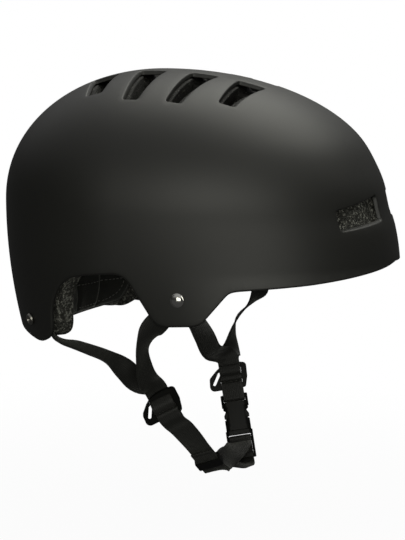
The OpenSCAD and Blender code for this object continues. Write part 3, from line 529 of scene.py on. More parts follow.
def wall_place(middle, half_angle, low, high):
    def place(p, q, depth):
        p, q = eased(p, q)
        return on_form(at_level(middle + half_angle * p,
                                (low + high) / 2 + (high - low) / 2 * q), depth)
    return place


def crown_place(p, q, depth):
    p, q = eased(p, q)
    x, y = 2 + 50 * p, 30 * q
    rise = dome_rise(np.hypot(x, y) / plan_reach(np.arctan2(y, x), depth))
    return np.stack([x, y, (CROWN - depth) * np.cos(rise) ** (2 / DOME_POWER)], 1)


def node_tree(name, inputs, result):
    """An empty tree with named inputs, given as (label, kind, value), and one result."""
    tree = bpy.data.node_groups.new(name, "GeometryNodeTree")
    for label, kind, value in inputs:
        socket = tree.interface.new_socket(label, in_out="INPUT", socket_type="NodeSocket" + kind)
        if value is not None:
            socket.default_value = value
    tree.interface.new_socket(result, in_out="OUTPUT", socket_type="NodeSocketGeometry")
    return tree, tree.nodes.new("NodeGroupInput"), tree.nodes.new("NodeGroupOutput")


def joined(tree, *links):
    for source, output, target, entry in links:
        tree.links.new(source.outputs[output], target.inputs[entry])


def made_by(tree, name, mesh, **values):
    """The plain mesh that a tree makes from a drawing."""
    piece = linked(name, mesh)
    nodes = piece.modifiers.new(tree.name, "NODES")
    nodes.node_group = tree
    for item in tree.interface.items_tree:
        if item.in_out == "INPUT" and item.name in values:
            nodes[item.identifier] = values[item.name]
    settled(piece)
    piece.data.shade_smooth()
    return piece


def stitch_tree():
    """Thread stitches along a mesh line: capsules set at equal steps, each lying along the line."""
    tree, start, end = node_tree("stitch_row", [
        ("Line", "Geometry", None), ("Step", "Float", 0.0032), ("Length", "Float", 0.0022),
        ("Thickness", "Float", 0.00055), ("Thread", "Material", None)], "Stitches")
    add = tree.nodes.new
    line, points = add("GeometryNodeMeshToCurve"), add("GeometryNodeCurveToPoints")
    ball, size = add("GeometryNodeMeshUVSphere"), add("ShaderNodeCombineXYZ")
    stretch, put = add("GeometryNodeTransform"), add("GeometryNodeInstanceOnPoints")
    real, thread = add("GeometryNodeRealizeInstances"), add("GeometryNodeSetMaterial")
    points.mode = "LENGTH"
    for label, value in (("Segments", 8), ("Rings", 6), ("Radius", 0.5)):
        ball.inputs[label].default_value = value
    joined(tree, (start, "Line", line, "Mesh"), (line, "Curve", points, "Curve"),
           (start, "Step", points, "Length"), (start, "Thickness", size, "X"),
           (start, "Thickness", size, "Y"), (start, "Length", size, "Z"),
           (ball, "Mesh", stretch, "Geometry"), (size, 0, stretch, "Scale"),
           (points, "Points", put, "Points"), (stretch, 0, put, "Instance"),
           (points, "Rotation", put, "Rotation"), (put, 0, real, 0),
           (real, 0, thread, "Geometry"), (start, "Thread", thread, "Material"),
           (thread, 0, end, 0))
    return tree


STITCH_ROW = stitch_tree()


def stitched(name, lines, thread):
    """Rows of stitches along lines of points in millimetres, as one plain mesh."""
    points, edges = [], []
    for line in lines:
        edges += [(len(points) + i, len(points) + i + 1) for i in range(len(line) - 1)]
        points += (np.asarray(line) / 1000).tolist()
    mesh = bpy.data.meshes.new(name)
    mesh.from_pydata(points, edges, [])
    return made_by(STITCH_ROW, name, mesh, Step=0.0032, Length=0.0022, Thickness=0.00055,
                   Thread=thread)


# Short-looped knit with soft folds; the edge tape is a plain rib, the thread a little paler
paint = Paint("pad_knit")
loops = paint.node("ShaderNodeTexVoronoi", {"feature": "F1"},
                   {"Vector": paint.place(), "Scale": 1150})
nap = paint.noise(260, 4.0, 0.7)
folds = paint.noise(75, 4.0, 0.6)
PAD_KNIT = paint.surface(
    colour=paint.mix(nap * 0.7 + loops * 0.4, (0.009, 0.0092, 0.0082), (0.030, 0.031, 0.028)),
    rough=0.78 + 0.15 * loops,
    normal=paint.bump(loops * 0.35 + nap * 0.25 + folds * 1.6, 0.0005, 0.7), gloss=0.3,
    sheen=0.45, sheen_rough=0.4, sheen_tint=(0.9, 0.92, 0.86))
paint = Paint("edge_tape")
rib = paint.noise(1500, 2.0, 0.6)
EDGE_TAPE = paint.surface(
    colour=paint.mix(rib, (0.007, 0.0072, 0.0065), (0.022, 0.023, 0.020)), rough=0.7,
    normal=paint.bump(rib, 0.0002, 0.7), gloss=0.35, sheen=0.3, sheen_rough=0.4)
paint = Paint("pale_thread")
twist = paint.noise(1800, 2.0, 0.5)
THREAD = paint.surface(
    colour=paint.mix(twist, (0.10, 0.10, 0.09), (0.24, 0.24, 0.22)), rough=0.55,
    normal=paint.bump(twist, 0.0001, 0.6), gloss=0.5, sheen=0.2)


def puffed(pad, held):
    """The cover swells between its seams, by MOST_PUFF at the most."""
    grip = pad.vertex_groups.new(name="sewn")
    grip.add(np.flatnonzero(held).tolist(), 1.0, "REPLACE")
    cloth = pad.modifiers.new("cover", "CLOTH")
    cloth.settings.vertex_group_mass = "sewn"
    cloth.settings.use_pressure = True
    cloth.settings.uniform_pressure_force = COVER_PRESSURE
    cloth.settings.mass, cloth.settings.quality = 0.15, 6
    cloth.settings.tension_stiffness = cloth.settings.compression_stiffness = 12
    cloth.settings.bending_stiffness = 0.4
    cloth.settings.effector_weights.gravity = 0
    cloth.point_cache.frame_start, cloth.point_cache.frame_end = 1, COVER_FRAMES
    rest = np.array([v.co for v in pad.data.vertices])
    for moment in range(1, COVER_FRAMES + 1):
        bpy.context.scene.frame_set(moment)
    graph = bpy.context.evaluated_depsgraph_get()
    move = np.array([v.co for v in pad.evaluated_get(graph).data.vertices]) - rest
    pad.modifiers.clear()
    pad.vertex_groups.clear()
    far = np.linalg.norm(move, axis=1)
    move *= (np.minimum(far, MOST_PUFF / 1000) / np.maximum(far, 1e-9))[:, None]
    pad.data.vertices.foreach_set("co", (rest + move).ravel())
    bpy.context.scene.frame_set(1)


def cushion(name, place, cols, rows, channels):
    """The cushion, and the line of its bound edge."""
    p, q = np.meshgrid(np.linspace(-1, 1, cols + 1), np.linspace(-1, 1, rows + 1))
    p, q = p.ravel(), q.ravel()
    crown = np.sqrt(1 - p ** 6) * np.sqrt(1 - q ** 4)
    for c in channels:
        crown *= 1 - CHANNEL_DEPTH * np.exp(-((p - c) * cols / 2.2) ** 2)
    swell = PAD_EDGE + (PAD_T - PUFF_ROOM - PAD_EDGE) * crown
    front, back = place(p, q, PAD_BACK + swell), place(p, q, PAD_BACK + 0 * p)
    n, total = cols + 1, len(p)
    ring = ([i for i in range(n)] + [j * n + cols for j in range(1, rows + 1)]
            + [rows * n + i for i in range(cols - 1, -1, -1)]
            + [j * n for j in range(rows - 1, 0, -1)])
    faces = []
    for a in (j * n + i for j in range(rows) for i in range(cols)):
        faces += [(a, a + 1, a + n + 1, a + n),
                  (total + a + n, total + a + n + 1, total + a + 1, total + a)]
    faces += [(a, total + a, total + b, b) for a, b in zip(ring, ring[1:] + ring[:1])]
    pad = shaped(name, np.concatenate([front, back]), faces)
    held = np.concatenate([np.isin(np.arange(total), ring), np.ones(total, bool)])
    for c in channels:
        held[:total] |= np.abs(p - c) < 1.2 / cols
    puffed(pad, held)
    smooth = pad.modifiers.new("smooth", "SUBSURF")
    smooth.levels = smooth.render_levels = 1
    settled(pad)
    pad.data.shade_smooth()
    return pad, place(p[ring], q[ring], PAD_BACK + PAD_EDGE / 2)


def edge_binding(name, line, width, height):
    """A folded tape round the edge of a pad."""
    ahead = units(neighbour_way(line))
    outward = units(np.cross(ahead, units(line)))
    if np.mean(((line - line.mean(0)) * outward).sum(1)) < 0:
        outward = -outward
    inner = np.cross(ahead, outward)
    ring = [(width * math.cos(t), height * math.sin(t))
            for t in np.linspace(0, 2 * math.pi, 11)[:-1]]
    points = np.concatenate([line + outward * a + inner * b for a, b in ring])
    n, m = len(line), len(ring)
    faces = [(k * n + i, k * n + (i + 1) % n, (k + 1) % m * n + (i + 1) % n, (k + 1) % m * n + i)
             for k in range(m) for i in range(n)]
    return shaped(name, points, faces)


def on_cover(pad, line, rise):
    """Points moved on to the cover, and raised a little towards the wearer's head."""
    found = np.array([pad.closest_point_on_mesh(Vector(at / 1000))[1] for at in line]) * 1000
    return found - rise * units(found)


PADS = {
    "brow_pad": (wall_place(0, 30, -33, 2), 72, 24, (-0.5, 0, 0.5)),
    "side_pad_right": (wall_place(-72, 27, -36, 8), 44, 30, (0,)),
    "side_pad_left": (wall_place(72, 27, -36, 8), 44, 30, (0,)),
    "nape_pad": (wall_place(180, 55, -89, -30), 96, 36, (-0.625, -0.25, 0.25, 0.625)),
    "crown_pad": (crown_place, 64, 38, (-0.5, 0, 0.5)),
}
SEAM_INSET, SEAM_SQUARENESS, NAPE_SEAM = 0.9, 7, -0.32
for name, (place, cols, rows, channels) in PADS.items():
    pad, rim = cushion(name + "_cushion", place, cols, rows, channels)
    finish_piece(pad, PAD_KNIT, "helmet", "pads", name)
    tape = edge_binding(name + "_edge_tape", rim, 0.9, 1.35)
    finish_piece(tape, EDGE_TAPE, "helmet", "pads")
    turn = np.linspace(0, 2 * math.pi, 241)
    c, s = np.cos(turn), np.sin(turn)
    size = np.abs(c) ** SEAM_SQUARENESS + np.abs(s) ** SEAM_SQUARENESS
    reach = SEAM_INSET / np.maximum(size, 1e-6) ** (1 / SEAM_SQUARENESS)
    seams = [place(reach * c, reach * s * 0.95, PAD_BACK + 5)]
    v = np.linspace(-0.86, 0.86, 90)
    if name == "nape_pad":
        seams.append(place(v, np.full(90, NAPE_SEAM), PAD_BACK + 6))
    else:
        seams += [place(np.full(90, c), v, PAD_BACK + 6) for c in channels]
    thread = stitched(name + "_stitches", [on_cover(pad, line, 0.1) for line in seams], THREAD)
    finish_piece(thread, THREAD, "helmet", "pads")

# The hook patches keep their solids: stiff little hooks on a moulded backing
paint = Paint("hook_patch")
hooks = paint.node("ShaderNodeTexVoronoi", {"feature": "F1"},
                   {"Vector": paint.place(), "Scale": 900})
cover(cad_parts["hook_patches"], paint.surface(
    colour=paint.mix(hooks, (0.022, 0.022, 0.02), (0.006, 0.006, 0.006)),
    rough=0.45 + 0.3 * hooks, normal=paint.bump(1 - hooks, 0.0004, 0.9), gloss=0.4))


# ------------------------ Rivets
# Polished steel: a domed head with a rolled edge at each side strap, a smaller eyelet head at
# each rear strap, and a plain washer behind the webbing that the tail is spread over.
SHANK, SHANK_DEPTH = 2.2, 7.35
SIDE_RIVET, REAR_RIVET = (68.0, -54.0), (133.5, -77.0)  # angle from the front, level
SIDE_PROFILE = [(0, 2.9), (0.8, 2.87), (1.7, 2.72), (2.6, 2.42), (3.3, 2.0), (3.85, 1.45),
                (4.05, 1.18), (4.35, 1.05), (4.62, 0.9), (4.7, 0.7), (4.62, 0.52), (4.3, 0.44),
                (3.0, 0.42), (SHANK, 0.42)]
REAR_PROFILE = [(0, 0.5), (1.2, 0.5), (1.5, 0.8), (1.7, 1.6), (1.95, 2.35), (2.25, 2.65),
                (2.6, 2.6), (3.1, 2.3), (3.6, 1.7), (3.92, 1.1), (4.0, 0.75), (3.92, 0.55),
                (3.6, 0.45), (SHANK, 0.43)]


def rivet_tree():
    """Sets one turned rivet on each seat, along the seat's own direction."""
    tree, start, end = node_tree("set_rivets", [
        ("Seats", "Geometry", None), ("Rivet", "Object", None), ("Size", "Float", 1.0),
        ("Metal", "Material", None)], "Rivets")
    add = tree.nodes.new
    source, facing = add("GeometryNodeObjectInfo"), add("GeometryNodeInputNamedAttribute")
    turn, put = add("FunctionNodeAlignRotationToVector"), add("GeometryNodeInstanceOnPoints")
    real, coat = add("GeometryNodeRealizeInstances"), add("GeometryNodeSetMaterial")
    facing.data_type, facing.inputs["Name"].default_value = "FLOAT_VECTOR", "facing"
    turn.axis = "Z"
    joined(tree, (start, "Rivet", source, "Object"), (start, "Seats", put, "Points"),
           (source, "Geometry", put, "Instance"), (facing, "Attribute", turn, "Vector"),
           (turn, 0, put, "Rotation"), (start, "Size", put, "Scale"), (put, 0, real, 0),
           (real, 0, coat, "Geometry"), (start, "Metal", coat, "Material"), (coat, 0, end, 0))
    return tree


SET_RIVETS = rivet_tree()

# Bright steel at the sides, with fine scratches and a thin film; at the rear a rougher copy whose
# colour is painted darker as painted shade
paint = Paint("polished_steel")
scratch = paint.noise(900, 3.0, 0.7)
film = paint.noise(160, 3.0, 0.6)
STEEL = paint.surface(colour=paint.mix(film, (0.62, 0.60, 0.56), (0.80, 0.79, 0.76)), metal=1.0,
                      rough=0.10 + 0.09 * film + 0.05 * scratch,
                      normal=paint.bump(scratch, 0.00004, 0.5))
# The rear rivets' steel is darkened in colour, painted shade for the back of the helmet, and is
# also rougher
paint = Paint("dull_shaded_steel")
film = paint.noise(160, 3.0, 0.6)
DULL_SHADED_STEEL = paint.surface(colour=paint.mix(film, (0.16, 0.155, 0.14), (0.30, 0.29, 0.27)),
                           metal=1.0, rough=0.26 + 0.14 * film,
                           normal=paint.bump(film, 0.00004, 0.5))


def turned_shape(name, profile, steps=64):
    """A solid of revolution about Z; the profile starts and ends on the axis."""
    points = [(0, 0, profile[0][1])]
    for r, h in profile[1:-1]:
        points += [(r * math.cos(2 * math.pi * k / steps), r * math.sin(2 * math.pi * k / steps), h)
                   for k in range(steps)]
    points.append((0, 0, profile[-1][1]))
    faces, last = [], len(profile) - 3
    for k in range(steps):
        m = (k + 1) % steps
        faces += [(0, 1 + k, 1 + m),
                  (len(points) - 1, 1 + last * steps + m, 1 + last * steps + k)]
        for a in range(1, 1 + last * steps, steps):
            faces.append((a + k, a + steps + k, a + steps + m, a + m))
    return shaped(name, points, faces)


def with_shank(profile, spread):
    """Adds the shank, and the tail that is spread over the washer."""
    wide = SHANK + spread
    return profile + [(SHANK, -SHANK_DEPTH), (wide, -SHANK_DEPTH),
                      (wide + 0.1, -SHANK_DEPTH - 0.3), (wide - 0.3, -SHANK_DEPTH - 0.7),
                      (SHANK - 0.6, -SHANK_DEPTH - 0.8), (0, -SHANK_DEPTH - 0.8)]


def rivets(name, profile, seat, facing, metal):
    """A pair of rivets, with the seat and its direction given for the left one."""
    pattern = turned_shape(name + "_pattern", profile)
    mesh = bpy.data.meshes.new(name)
    mesh.from_pydata([tuple(seat * [1, side, 1] / 1000) for side in (-1, 1)], [], [])
    ways = mesh.attributes.new("facing", "FLOAT_VECTOR", "POINT")
    ways.data.foreach_set("vector", np.ravel([facing * [1, side, 1] for side in (-1, 1)]))
    pair = made_by(SET_RIVETS, name, mesh, Rivet=pattern, Size=1.0, Metal=metal)
    bpy.data.objects.remove(pattern)
    return pair


def form_spot(angle, level, inset=0.0):
    return on_form(at_level(np.array([angle]), np.array([float(level)])), inset)[0]


def form_normal(angle, level):
    p = on_form(at_level(np.array([angle + 1.0, angle - 1, angle, angle]),
                         np.array([level, level, level + 1.0, level - 1])))
    return unit(np.cross(p[0] - p[1], p[2] - p[3]))


finish_piece(rivets("side_rivet_heads", with_shank(SIDE_PROFILE, 1.1), form_spot(*SIDE_RIVET),
                    np.array([0.0, 1, 0]), STEEL), STEEL, "helmet", "rivet_steel", "side_rivets")
finish_piece(rivets("rear_rivet_heads", with_shank(REAR_PROFILE, 0.9), form_spot(*REAR_RIVET),
                    form_normal(*REAR_RIVET), DULL_SHADED_STEEL), DULL_SHADED_STEEL, "helmet", "rivet_steel",
             "rear_rivets")
for name in ("side_washers", "rear_washers"):
    cover(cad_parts[name], STEEL)


# ------------------------ Harness webbing
# Flat woven webbing, 15.5 by 1.4 mm: a front and a rear leg on each side, threaded through a
# divider and sewn together behind it. The legs are pinned between shell and foam by the rivets.
WEB, WEB_T, WEB_DEPTH = 15.5, 1.4, 5.3  # width, thickness, and depth of its middle in the shell
BAR_LAYER, SEWN_LAYER, BAR_TURN, LOWER_BAR = 2.65, 5.0, 2.55, -6.8
# Right divider first: side, its turns in degrees, and its middle
SIDES, YAW, LEAN, TILT = (-1, 1), (20, 14), (12, 20), (28, 9.5)
DIVIDER_AT = np.array([(23, -74, -130.3), (26, 74, -139.5)], float)


def turned(k, vector):
    """From a divider's own directions (forward, outward, up) to the helmet's."""
    x, y, z = vector[0], vector[1] * SIDES[k], vector[2]
    t, l, w = (math.radians(v) for v in (-TILT[k], -SIDES[k] * LEAN[k], YAW[k]))
    x, z = x * math.cos(t) + z * math.sin(t), z * math.cos(t) - x * math.sin(t)
    y, z = y * math.cos(l) - z * math.sin(l), y * math.sin(l) + z * math.cos(l)
    return np.array([x * math.cos(w) - y * math.sin(w), x * math.sin(w) + y * math.cos(w), z])


def at_divider(k, forward, outward, up):
    return DIVIDER_AT[k] + turned(k, (forward, outward, up))


def level_station(k, outward, up, forward=0):
    """A station of a strap, its place and its cross direction, that lies along the bars."""
    return [at_divider(k, forward, outward, up), turned(k, (1, 0, 0))]


def pinned_edge(k, spots, way):
    """Stations between shell and foam, with the ribbon flat against the shell."""
    stations, flip, way = [], np.array([1, SIDES[k], 1]), np.array(way, float)
    for angle, level in spots:
        face = form_normal(angle, level) * flip
        stations.append([form_spot(angle, level, WEB_DEPTH) * flip,
                         unit(way - (way @ face) * face)])
    return stations


def bar_wrap(k, depth, middle, first, last):
    """A square-shouldered turn round a bar."""
    stations = []
    for a in np.radians(first + (last - first) * np.arange(9) / 8):
        c, s = math.cos(a), math.sin(a)
        stations.append(level_station(k, depth * math.copysign(math.sqrt(abs(c)), c),
                                      middle + BAR_TURN * math.copysign(math.sqrt(abs(s)), s)))
    return stations


def smooth_run(stations, closed, parts=6):
    """Points and cross directions along a smooth curve through unevenly spaced stations."""
    both = np.array([np.concatenate(s) for s in stations], float)
    n = len(both)
    step = np.linalg.norm(np.roll(both, -1, 0)[:, :3] - both[:, :3], axis=1)[:, None]
    slope = (np.roll(both, -1, 0) - both) / step
    step_back, slope_back = np.roll(step, 1, 0), np.roll(slope, 1, 0)
    pull = (slope * step_back + slope_back * step) / (step + step_back)
    if not closed:
        pull[0], pull[-1] = slope[0], slope_back[-1]
    line = []
    for i in range(n if closed else n - 1):
        j = (i + 1) % n
        for t in np.arange(parts) / parts:
            line.append((1 + 2 * t) * (1 - t) ** 2 * both[i]
                        + t * (1 - t) ** 2 * step[i] * pull[i]
                        + t * t * (3 - 2 * t) * both[j] - t * t * (1 - t) * step[i] * pull[j])
    if not closed:
        line.append(both[-1])
    return np.array(line)[:, :3], np.array(line)[:, 3:]


def webbing_section():
    """Two faces that dip a little beside the selvedges, which are rounded."""
    half, thin, cord = WEB / 2, WEB_T / 2, 0.35
    face = [(s, thin - 0.14 * math.exp(-((abs(s) - 6.4) / 0.5) ** 2))
            for s in np.linspace(-7.15, 7.15, 19)]
    edge = [(half - cord + cord * math.cos(t), thin * math.sin(t) * 0.86)
            for t in (1.0, 0.35, -0.35, -1.0)]
    return np.array(face + edge + [(s, -h) for s, h in face[::-1]]
                    + [(-s, h) for s, h in edge[::-1]])


def webbing(name, stations, closed=False):
    """A woven ribbon with rounded selvedges; its UV map is in millimetres, across and along."""
    p, a = smooth_run(stations, closed)
    ahead = neighbour_way(p)
    if not closed:
        ahead[0], ahead[-1] = p[1] - p[0], p[-1] - p[-2]
    ahead = units(ahead)
    a = units(a - (a * ahead).sum(1)[:, None] * ahead)
    b = np.cross(ahead, a)
    step = np.linalg.norm(np.diff(np.concatenate([p, p[:1]]), axis=0), axis=1)
    gone = np.concatenate([[0], np.cumsum(step)])
    ring = webbing_section()
    m, n = len(ring), len(p)
    points = p[:, None] + ring[None, :, :1] * a[:, None] + ring[None, :, 1:] * b[:, None]
    faces, marks = [], []
    across = np.concatenate([ring[:, 0], ring[:1, 0]])
    for i in range(n if closed else n - 1):
        j = (i + 1) % n
        for k in range(m):
            o = (k + 1) % m
            faces.append((i * m + k, i * m + o, j * m + o, j * m + k))
            marks += [(across[k], gone[i]), (across[k + 1], gone[i]),
                      (across[k + 1], gone[i + 1]), (across[k], gone[i + 1])]
    if not closed:
        for first in (0, (n - 1) * m):
            loop = list(range(first, first + m))
            faces.append(tuple(loop[::-1] if first == 0 else loop))
            marks += [(across[k], gone[first // m]) for k in range(m)]
    return shaped(name, points.reshape(-1, 3), faces, marks)


# Fine cross ribs and lengthwise warp ends make a small check; the selvedges are plain cord
WARP, RIB, SELVEDGE = 1.3, 1.15, (6.2, 6.8)
paint = Paint("woven_webbing")
spot = paint.node("ShaderNodeSeparateXYZ", None,
                  {0: paint.node("ShaderNodeUVMap", {"uv_map": "millimetres"})})
along = paint.also(1)
column, row = spot / WARP, along / RIB
offset = (column.floor() % 2) * 0.5
lift = ((column * math.pi).wave().size() * 0.55
        + ((row + offset) * math.pi).wave().size() * 0.45)
edge = spot.size().between(*SELVEDGE)
worn = paint.noise(60, 4.0, 0.65)
fuzz = paint.noise(2400, 2.0, 0.7)
WOVEN = paint.surface(
    colour=paint.mix(lift ** 2 * 0.75 + worn * 0.2 + edge * 0.1, (0.0010, 0.0010, 0.0009),
                     (0.0200, 0.0202, 0.0182)),
    rough=0.50 + 0.15 * fuzz,
    normal=paint.bump(lift * (1 - 0.6 * edge) + fuzz * 0.18, 0.00022, 1.0), gloss=0.3,
    sheen=0.12, sheen_rough=0.4, sheen_tint=(0.9, 0.92, 0.85))


def leg_end(k):
    """Behind the top bar, out over the middle bar, and back up to the sewn joint."""
    return ([level_station(k, -BAR_LAYER, 13), level_station(k, -BAR_LAYER, 7),
             level_station(k, 0, 4.4)] + bar_wrap(k, BAR_LAYER, 0, 20, -180)
            + [level_station(k, -SEWN_LAYER, 3), level_station(k, -SEWN_LAYER, 8)])


def rear_end(k, way=1):
    """Down to the sewn joint, behind the front leg; way is -1 where the run comes turned over."""
    return [[at, way * across] for at, across in (
        (at_divider(k, -1, -SEWN_LAYER - 1.4, 14), turned(k, (1, 0, 0.25))),
        level_station(k, -SEWN_LAYER - 0.2, 10.6), level_station(k, -SEWN_LAYER, 8.9))]


LEGS = {
    "front_strap_leg_right": (0, pinned_edge(
        0, [(65.4, -48), (68, -54), (71.4, -62), (74.4, -69.5)], (0.74, 0, -0.66)) + [
        [(22, -95.6, -75), (0.62, 0.4, -0.62)], [(18.5, -93.7, -80), (0.35, 0.8, -0.45)],
        [(13.6, -90, -91.3), (0.15, 0.98, -0.11)], [(13.2, -85.8, -103), (0.35, 0.92, 0.1)],
        [(15.2, -80.8, -114), (0.65, 0.65, 0.38)]] + leg_end(0)),
    "front_strap_leg_left": (1, pinned_edge(
        1, [(68, -46), (68, -54), (68, -64)], (1, 0, 0)) + pinned_edge(
        1, [(68, -71.5)], (1, 0.1, 0)) + [
        [(41, 95, -78.5), (0.6, 0.75, -0.3)], [(35.9, 93.5, -86.6), (-0.1, 0.96, -0.25)],
        [(25.4, 90.5, -99.1), (-0.31, 0.94, -0.12)], [(23.1, 87.5, -110.1), (0.03, 1, -0.06)],
        [(22.8, 83.5, -122.8), (0.65, 0.7, 0.15)]] + leg_end(1)),
    "rear_strap_leg_right": (0, pinned_edge(
        0, [(137.5, -73), (133.5, -77), (129.5, -80.5)], (0, 0, 1)) + [
        [(-56.5, -73.5, -85), (0, -0.7, 0.7)], [(-51, -76, -88.2), (0, -0.95, 0.3)],
        [(-43, -80.5, -89.8), (0.05, -1, 0)], [(-33, -84.5, -91.3), (0.1, -0.98, -0.12)],
        [(-24, -86.3, -93.3), (0.1, -0.97, -0.2)], [(-10.4, -86.3, -97.9), (0.04, -0.94, -0.32)],
        [(-1.6, -83, -105.4), (-0.41, -0.67, -0.62)],
        [(6.4, -75, -115.4), (-0.66, -0.29, -0.7)]] + rear_end(0, -1)),
    "rear_strap_leg_left": (1, pinned_edge(
        1, [(137.5, -75), (133.5, -77), (128, -78.5), (122.5, -80), (118.5, -81)], (0, 0, 1)) + [
        [(-33, 91, -84), (0.1, 0.3, 0.95)], [(-20, 89.5, -90), (0.2, 0.6, 0.78)],
        [(-3.2, 87, -104.6), (0.45, 0.79, 0.4)], [(3.3, 82.5, -112.4), (0.6, 0.6, 0.53)],
        [(11.8, 75.6, -122.3), (0.78, 0.4, 0.45)]] + rear_end(1)),
}
for name, (k, stations) in LEGS.items():
    leg = webbing(name + "_webbing", stations)
    cover(leg, WOVEN)
    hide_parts(name)
    top, foot = stations[1][0] / 1000, DIVIDER_AT[k] / 1000 + np.array([0, 0, 0.012])
    tuple(top)
    tuple(foot)
    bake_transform(leg)


# ------------------------ Strap dividers
# A flat moulded frame with three bars under each ear. The legs go behind its top bar, over its
# middle bar, and are sewn behind it; the lobe at the back lets a strap be slipped in.
SMALLEST_BEND = 1.5  # degrees; flatter joins between triangles of the drawing are one face
ROUNDED_BEND = 30.0  # degrees; sharper edges are rounded


def softened(node, name, width):
    """A copy of a moulded part's drawing, with its edges rounded over."""
    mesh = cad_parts[node].data.copy()
    mesh.name = name
    shape = bmesh.new()
    shape.from_mesh(mesh)
    bmesh.ops.remove_doubles(shape, verts=shape.verts, dist=2e-6)
    bmesh.ops.dissolve_limit(shape, angle_limit=math.radians(SMALLEST_BEND), verts=shape.verts,
                             edges=shape.edges)
    shape.to_mesh(mesh)
    shape.free()
    piece = faced_out(name, mesh)
    bevel = piece.modifiers.new("rounded", "BEVEL")
    bevel.width, bevel.segments, bevel.limit_method = width / 1000, 3, "ANGLE"
    bevel.angle_limit, bevel.use_clamp_overlap = math.radians(ROUNDED_BEND), True
    bevel.miter_outer = "MITER_ARC"
    weigh = piece.modifiers.new("flat faces", "WEIGHTED_NORMAL")
    weigh.mode, weigh.weight, weigh.keep_sharp = "FACE_AREA", 80, True
    return settled(piece)


# Acetal with a faint spark texture and a slightly glossy skin; its sharp outer edges are painted
# paler as a painted highlight
paint = Paint("moulded_acetal")
spark = paint.noise(1700, 2.0, 0.6)
haze = paint.noise(90, 3.0, 0.6)
# Painted highlight: where the surface is most convex, along the edges, the colour is made paler
painted_edge_highlight = paint.node("ShaderNodeNewGeometry", output="Pointiness").between(0.51, 0.58)
ACETAL = paint.surface(
    colour=paint.mix(haze * 0.5 + painted_edge_highlight * 0.5, (0.0026, 0.0027, 0.0024),
                     (0.0064, 0.0065, 0.0059)),
    rough=0.36 + 0.12 * haze + 0.06 * spark, normal=paint.bump(spark, 0.00003, 0.4), gloss=0.12)

for name in ("strap_divider_right", "strap_divider_left"):
    finish_piece(softened(name, name + "_frame", 0.7), ACETAL, "harness", "moulded_plastic", name)


# ------------------------ Side release buckle
# Two acetal halves: a socket hung from the left divider by a sewn band, and a tongue whose two
# sprung prongs snap into the socket's side windows. The tongue's far end is a ladder lock.
SOCKET_BAR = -14.5  # below the middle of the left divider
band = webbing("buckle_strap_webbing", bar_wrap(1, BAR_LAYER, LOWER_BAR + 0.4, 180, 0)
               + bar_wrap(1, BAR_LAYER, SOCKET_BAR, 0, -180), closed=True)
finish_piece(band, WOVEN, "harness", "webbing", "buckle_strap")
for name, rounding, body in (("buckle_socket", 0.45, "harness"), ("buckle_tongue", 0.4, "tongue"),
                             ("prong_front", 0.25, "front_prong"),
                             ("prong_rear", 0.25, "rear_prong")):
    finish_piece(softened(name, name + "_moulding", rounding), ACETAL, body, "moulded_plastic",
                 name)


# ------------------------ Chin strap
# One length of the same webbing: sewn round the right divider's lower bar, under the chin to the
# buckle, round the tongue's grip bar, and back outside itself to a free end held by a keeper.
KEEPER_AT = np.array([35.8, -13, -180.4])
KEEPER_WAY, KEEPER_ACROSS = unit((0.08, 0.82, -0.57)), unit((0.94, 0.08, 0.33))
GRIP_BAR = -46  # below the middle of the left divider
BACK_GAP = 1.75  # between the strap and the end that comes back outside it


def beside(run, i, gap):
    """A station on the outer side of another stretch."""
    way = unit(np.array(run[min(i + 1, len(run) - 1)][0]) - np.array(run[max(i - 1, 0)][0]))
    return [np.array(run[i][0]) + unit(np.cross(way, run[i][1])) * gap, run[i][1]]


chin_start = ([level_station(0, -BAR_LAYER - 0.3, -15), level_station(0, -BAR_LAYER, -10)]
              + bar_wrap(0, BAR_LAYER, LOWER_BAR, 180, 0) + [level_station(0, BAR_LAYER, -11, 0.6)])
chin_run = ([[(31.1, -61, -147.6), (0.82, 0.28, 0.48)], [(32.9, -47, -157.1), (0.86, 0.2, 0.42)]]
            + [[KEEPER_AT + KEEPER_WAY * s, KEEPER_ACROSS] for s in (-22, -17, 6, 13)]
            + [[(38.3, 12, -187), (0.7, 0.05, -0.55)], [(39.2, 25, -185.6), (0.45, 0, -0.89)],
               [(39.8, 40, -184), (0.75, 0.1, -0.45)],
               level_station(1, -BAR_LAYER - 5, -49.5), level_station(1, -BAR_LAYER - 1.2, -48)])
tail_run = ([level_station(1, BAR_LAYER, -50), level_station(1, BAR_LAYER + 0.4, -59.3),
             level_station(1, -2.5, -64.3), [(41, 42, -194), (0.8, 0.1, -0.5)]]
            + [beside(chin_run, i, BACK_GAP + 0.5 * (i > 5)) for i in (7, 6, 5, 4, 3)])
chin = webbing("chin_strap_webbing",
               chin_start + chin_run + bar_wrap(1, BAR_LAYER, GRIP_BAR, 180, 0) + tail_run)
cover(chin, WOVEN)
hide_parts("chin_strap")
tuple(at_divider(0, 0, 0, -14) / 1000)
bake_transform(chin)
finish_piece(softened("strap_keeper", "strap_keeper_band", 0.4), ACETAL, "keeper",
             "moulded_plastic", "strap_keeper")


# ------------------------ Studio
# A plain pale floor, lower than the opened buckle can reach, a soft box over the crown and a
# broad one in front. The surround is white to the camera; the gloss sees a pale sky and backdrop.
FLOOR_DROP, FLOOR_HALF = 0.022, 40
low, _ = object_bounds()
floor_mesh = bpy.data.meshes.new("floor")
floor_mesh.from_pydata([(x * FLOOR_HALF, y * FLOOR_HALF, low.z - FLOOR_DROP)
                        for x, y in ((-1, -1), (1, -1), (1, 1), (-1, 1))], [], [(0, 1, 2, 3)])
floor = linked("floor", floor_mesh)
paint = Paint("pale_floor")
diffuse = paint.node("ShaderNodeBsdfDiffuse", None, {"Color": (0.2, 0.2, 0.2)})
spot = paint.node("ShaderNodeVectorMath", {"operation": "LENGTH"}, {0: paint.place()}, 1)
camera_ray = paint.node("ShaderNodeLightPath", output="Is Camera Ray")
gloss_ray = paint.also("Is Glossy Ray") + paint.also("Is Transmission Ray")
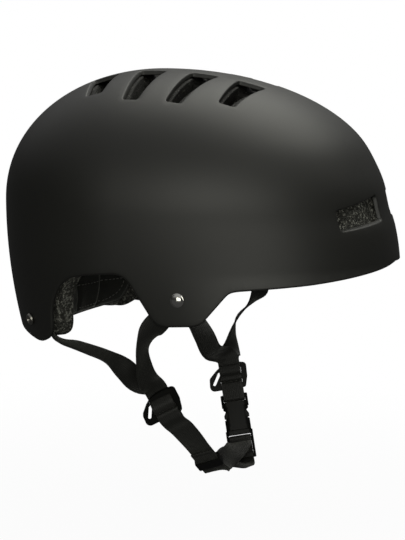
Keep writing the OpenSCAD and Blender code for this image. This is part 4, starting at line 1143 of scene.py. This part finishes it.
glow = paint.node("ShaderNodeEmission", None,
                  {"Color": (1, 1, 1), "Strength": 0.06 + 0.94 * camera_ray})
share = camera_ray * (0.965 + 0.035 * spot.between(0.20, 0.55)) + gloss_ray
both = paint.node("ShaderNodeMixShader", None, {0: share, 1: diffuse, 2: glow})
paint.node("ShaderNodeOutputMaterial", None, {"Surface": both})
cover(floor, paint.material)


def soft_box(name, toward, distance, width, height, power):
    light = bpy.data.lights.new(name, "AREA")
    light.shape, light.size, light.size_y, light.energy = "RECTANGLE", width, height, power
    light.color = (1.0, 1.0, 0.91)
    lamp = linked(name, light)
    lamp.location = Vector(toward).normalized() * distance
    lamp.rotation_euler = (-lamp.location).to_track_quat("-Z", "Y").to_euler()


soft_box("soft_box_over", (0.24, 0.36, 0.90), 1.5, 1.8, 1.1, 18)
soft_box("soft_box_front", (0.30, -0.95, 0.14), 2.6, 2.4, 2.0, 47)

world = bpy.context.scene.world or bpy.data.worlds.new("surround")
bpy.context.scene.world = world
paint = Paint("surround", world)
camera_ray = paint.node("ShaderNodeLightPath", output="Is Camera Ray")
glossy = paint.also("Is Glossy Ray")
ahead = paint.node("ShaderNodeSeparateXYZ", None,
                   {0: paint.node("ShaderNodeTexCoord", output="Generated")})
aside, up = paint.also(1), paint.also(2)
backdrop = (aside * 0.94 - ahead * 0.31).between(0.1, 0.9) * up.between(0.05, 0.6)
sky = up.between(0.2, 0.9)
strength = camera_ray + (1 - camera_ray) * (0.03 + glossy * (backdrop * 0.44 + sky * 0.31))
back = paint.node("ShaderNodeBackground", None, {"Color": (1, 1, 1), "Strength": strength})
paint.node("ShaderNodeOutputWorld", None, {"Surface": back})

# The camera stands 1.6 m off, before the wearer's right temple and a little above
view = Vector((0.3067, -0.9440, 0.1219)).normalized()
lens = bpy.data.cameras.new("camera")
lens.lens, lens.sensor_width, lens.sensor_fit = 154.7, 36.0, "AUTO"
lens.shift_x, lens.shift_y = 0.0691, -0.1367
lens.clip_start, lens.clip_end = 0.05, 200
camera = linked("camera", lens)
camera.location = view * 1.6
camera.rotation_euler = (-view).to_track_quat("-Z", "Y").to_euler()
bpy.context.scene.camera = camera
bpy.context.scene.view_settings.view_transform = "Standard"
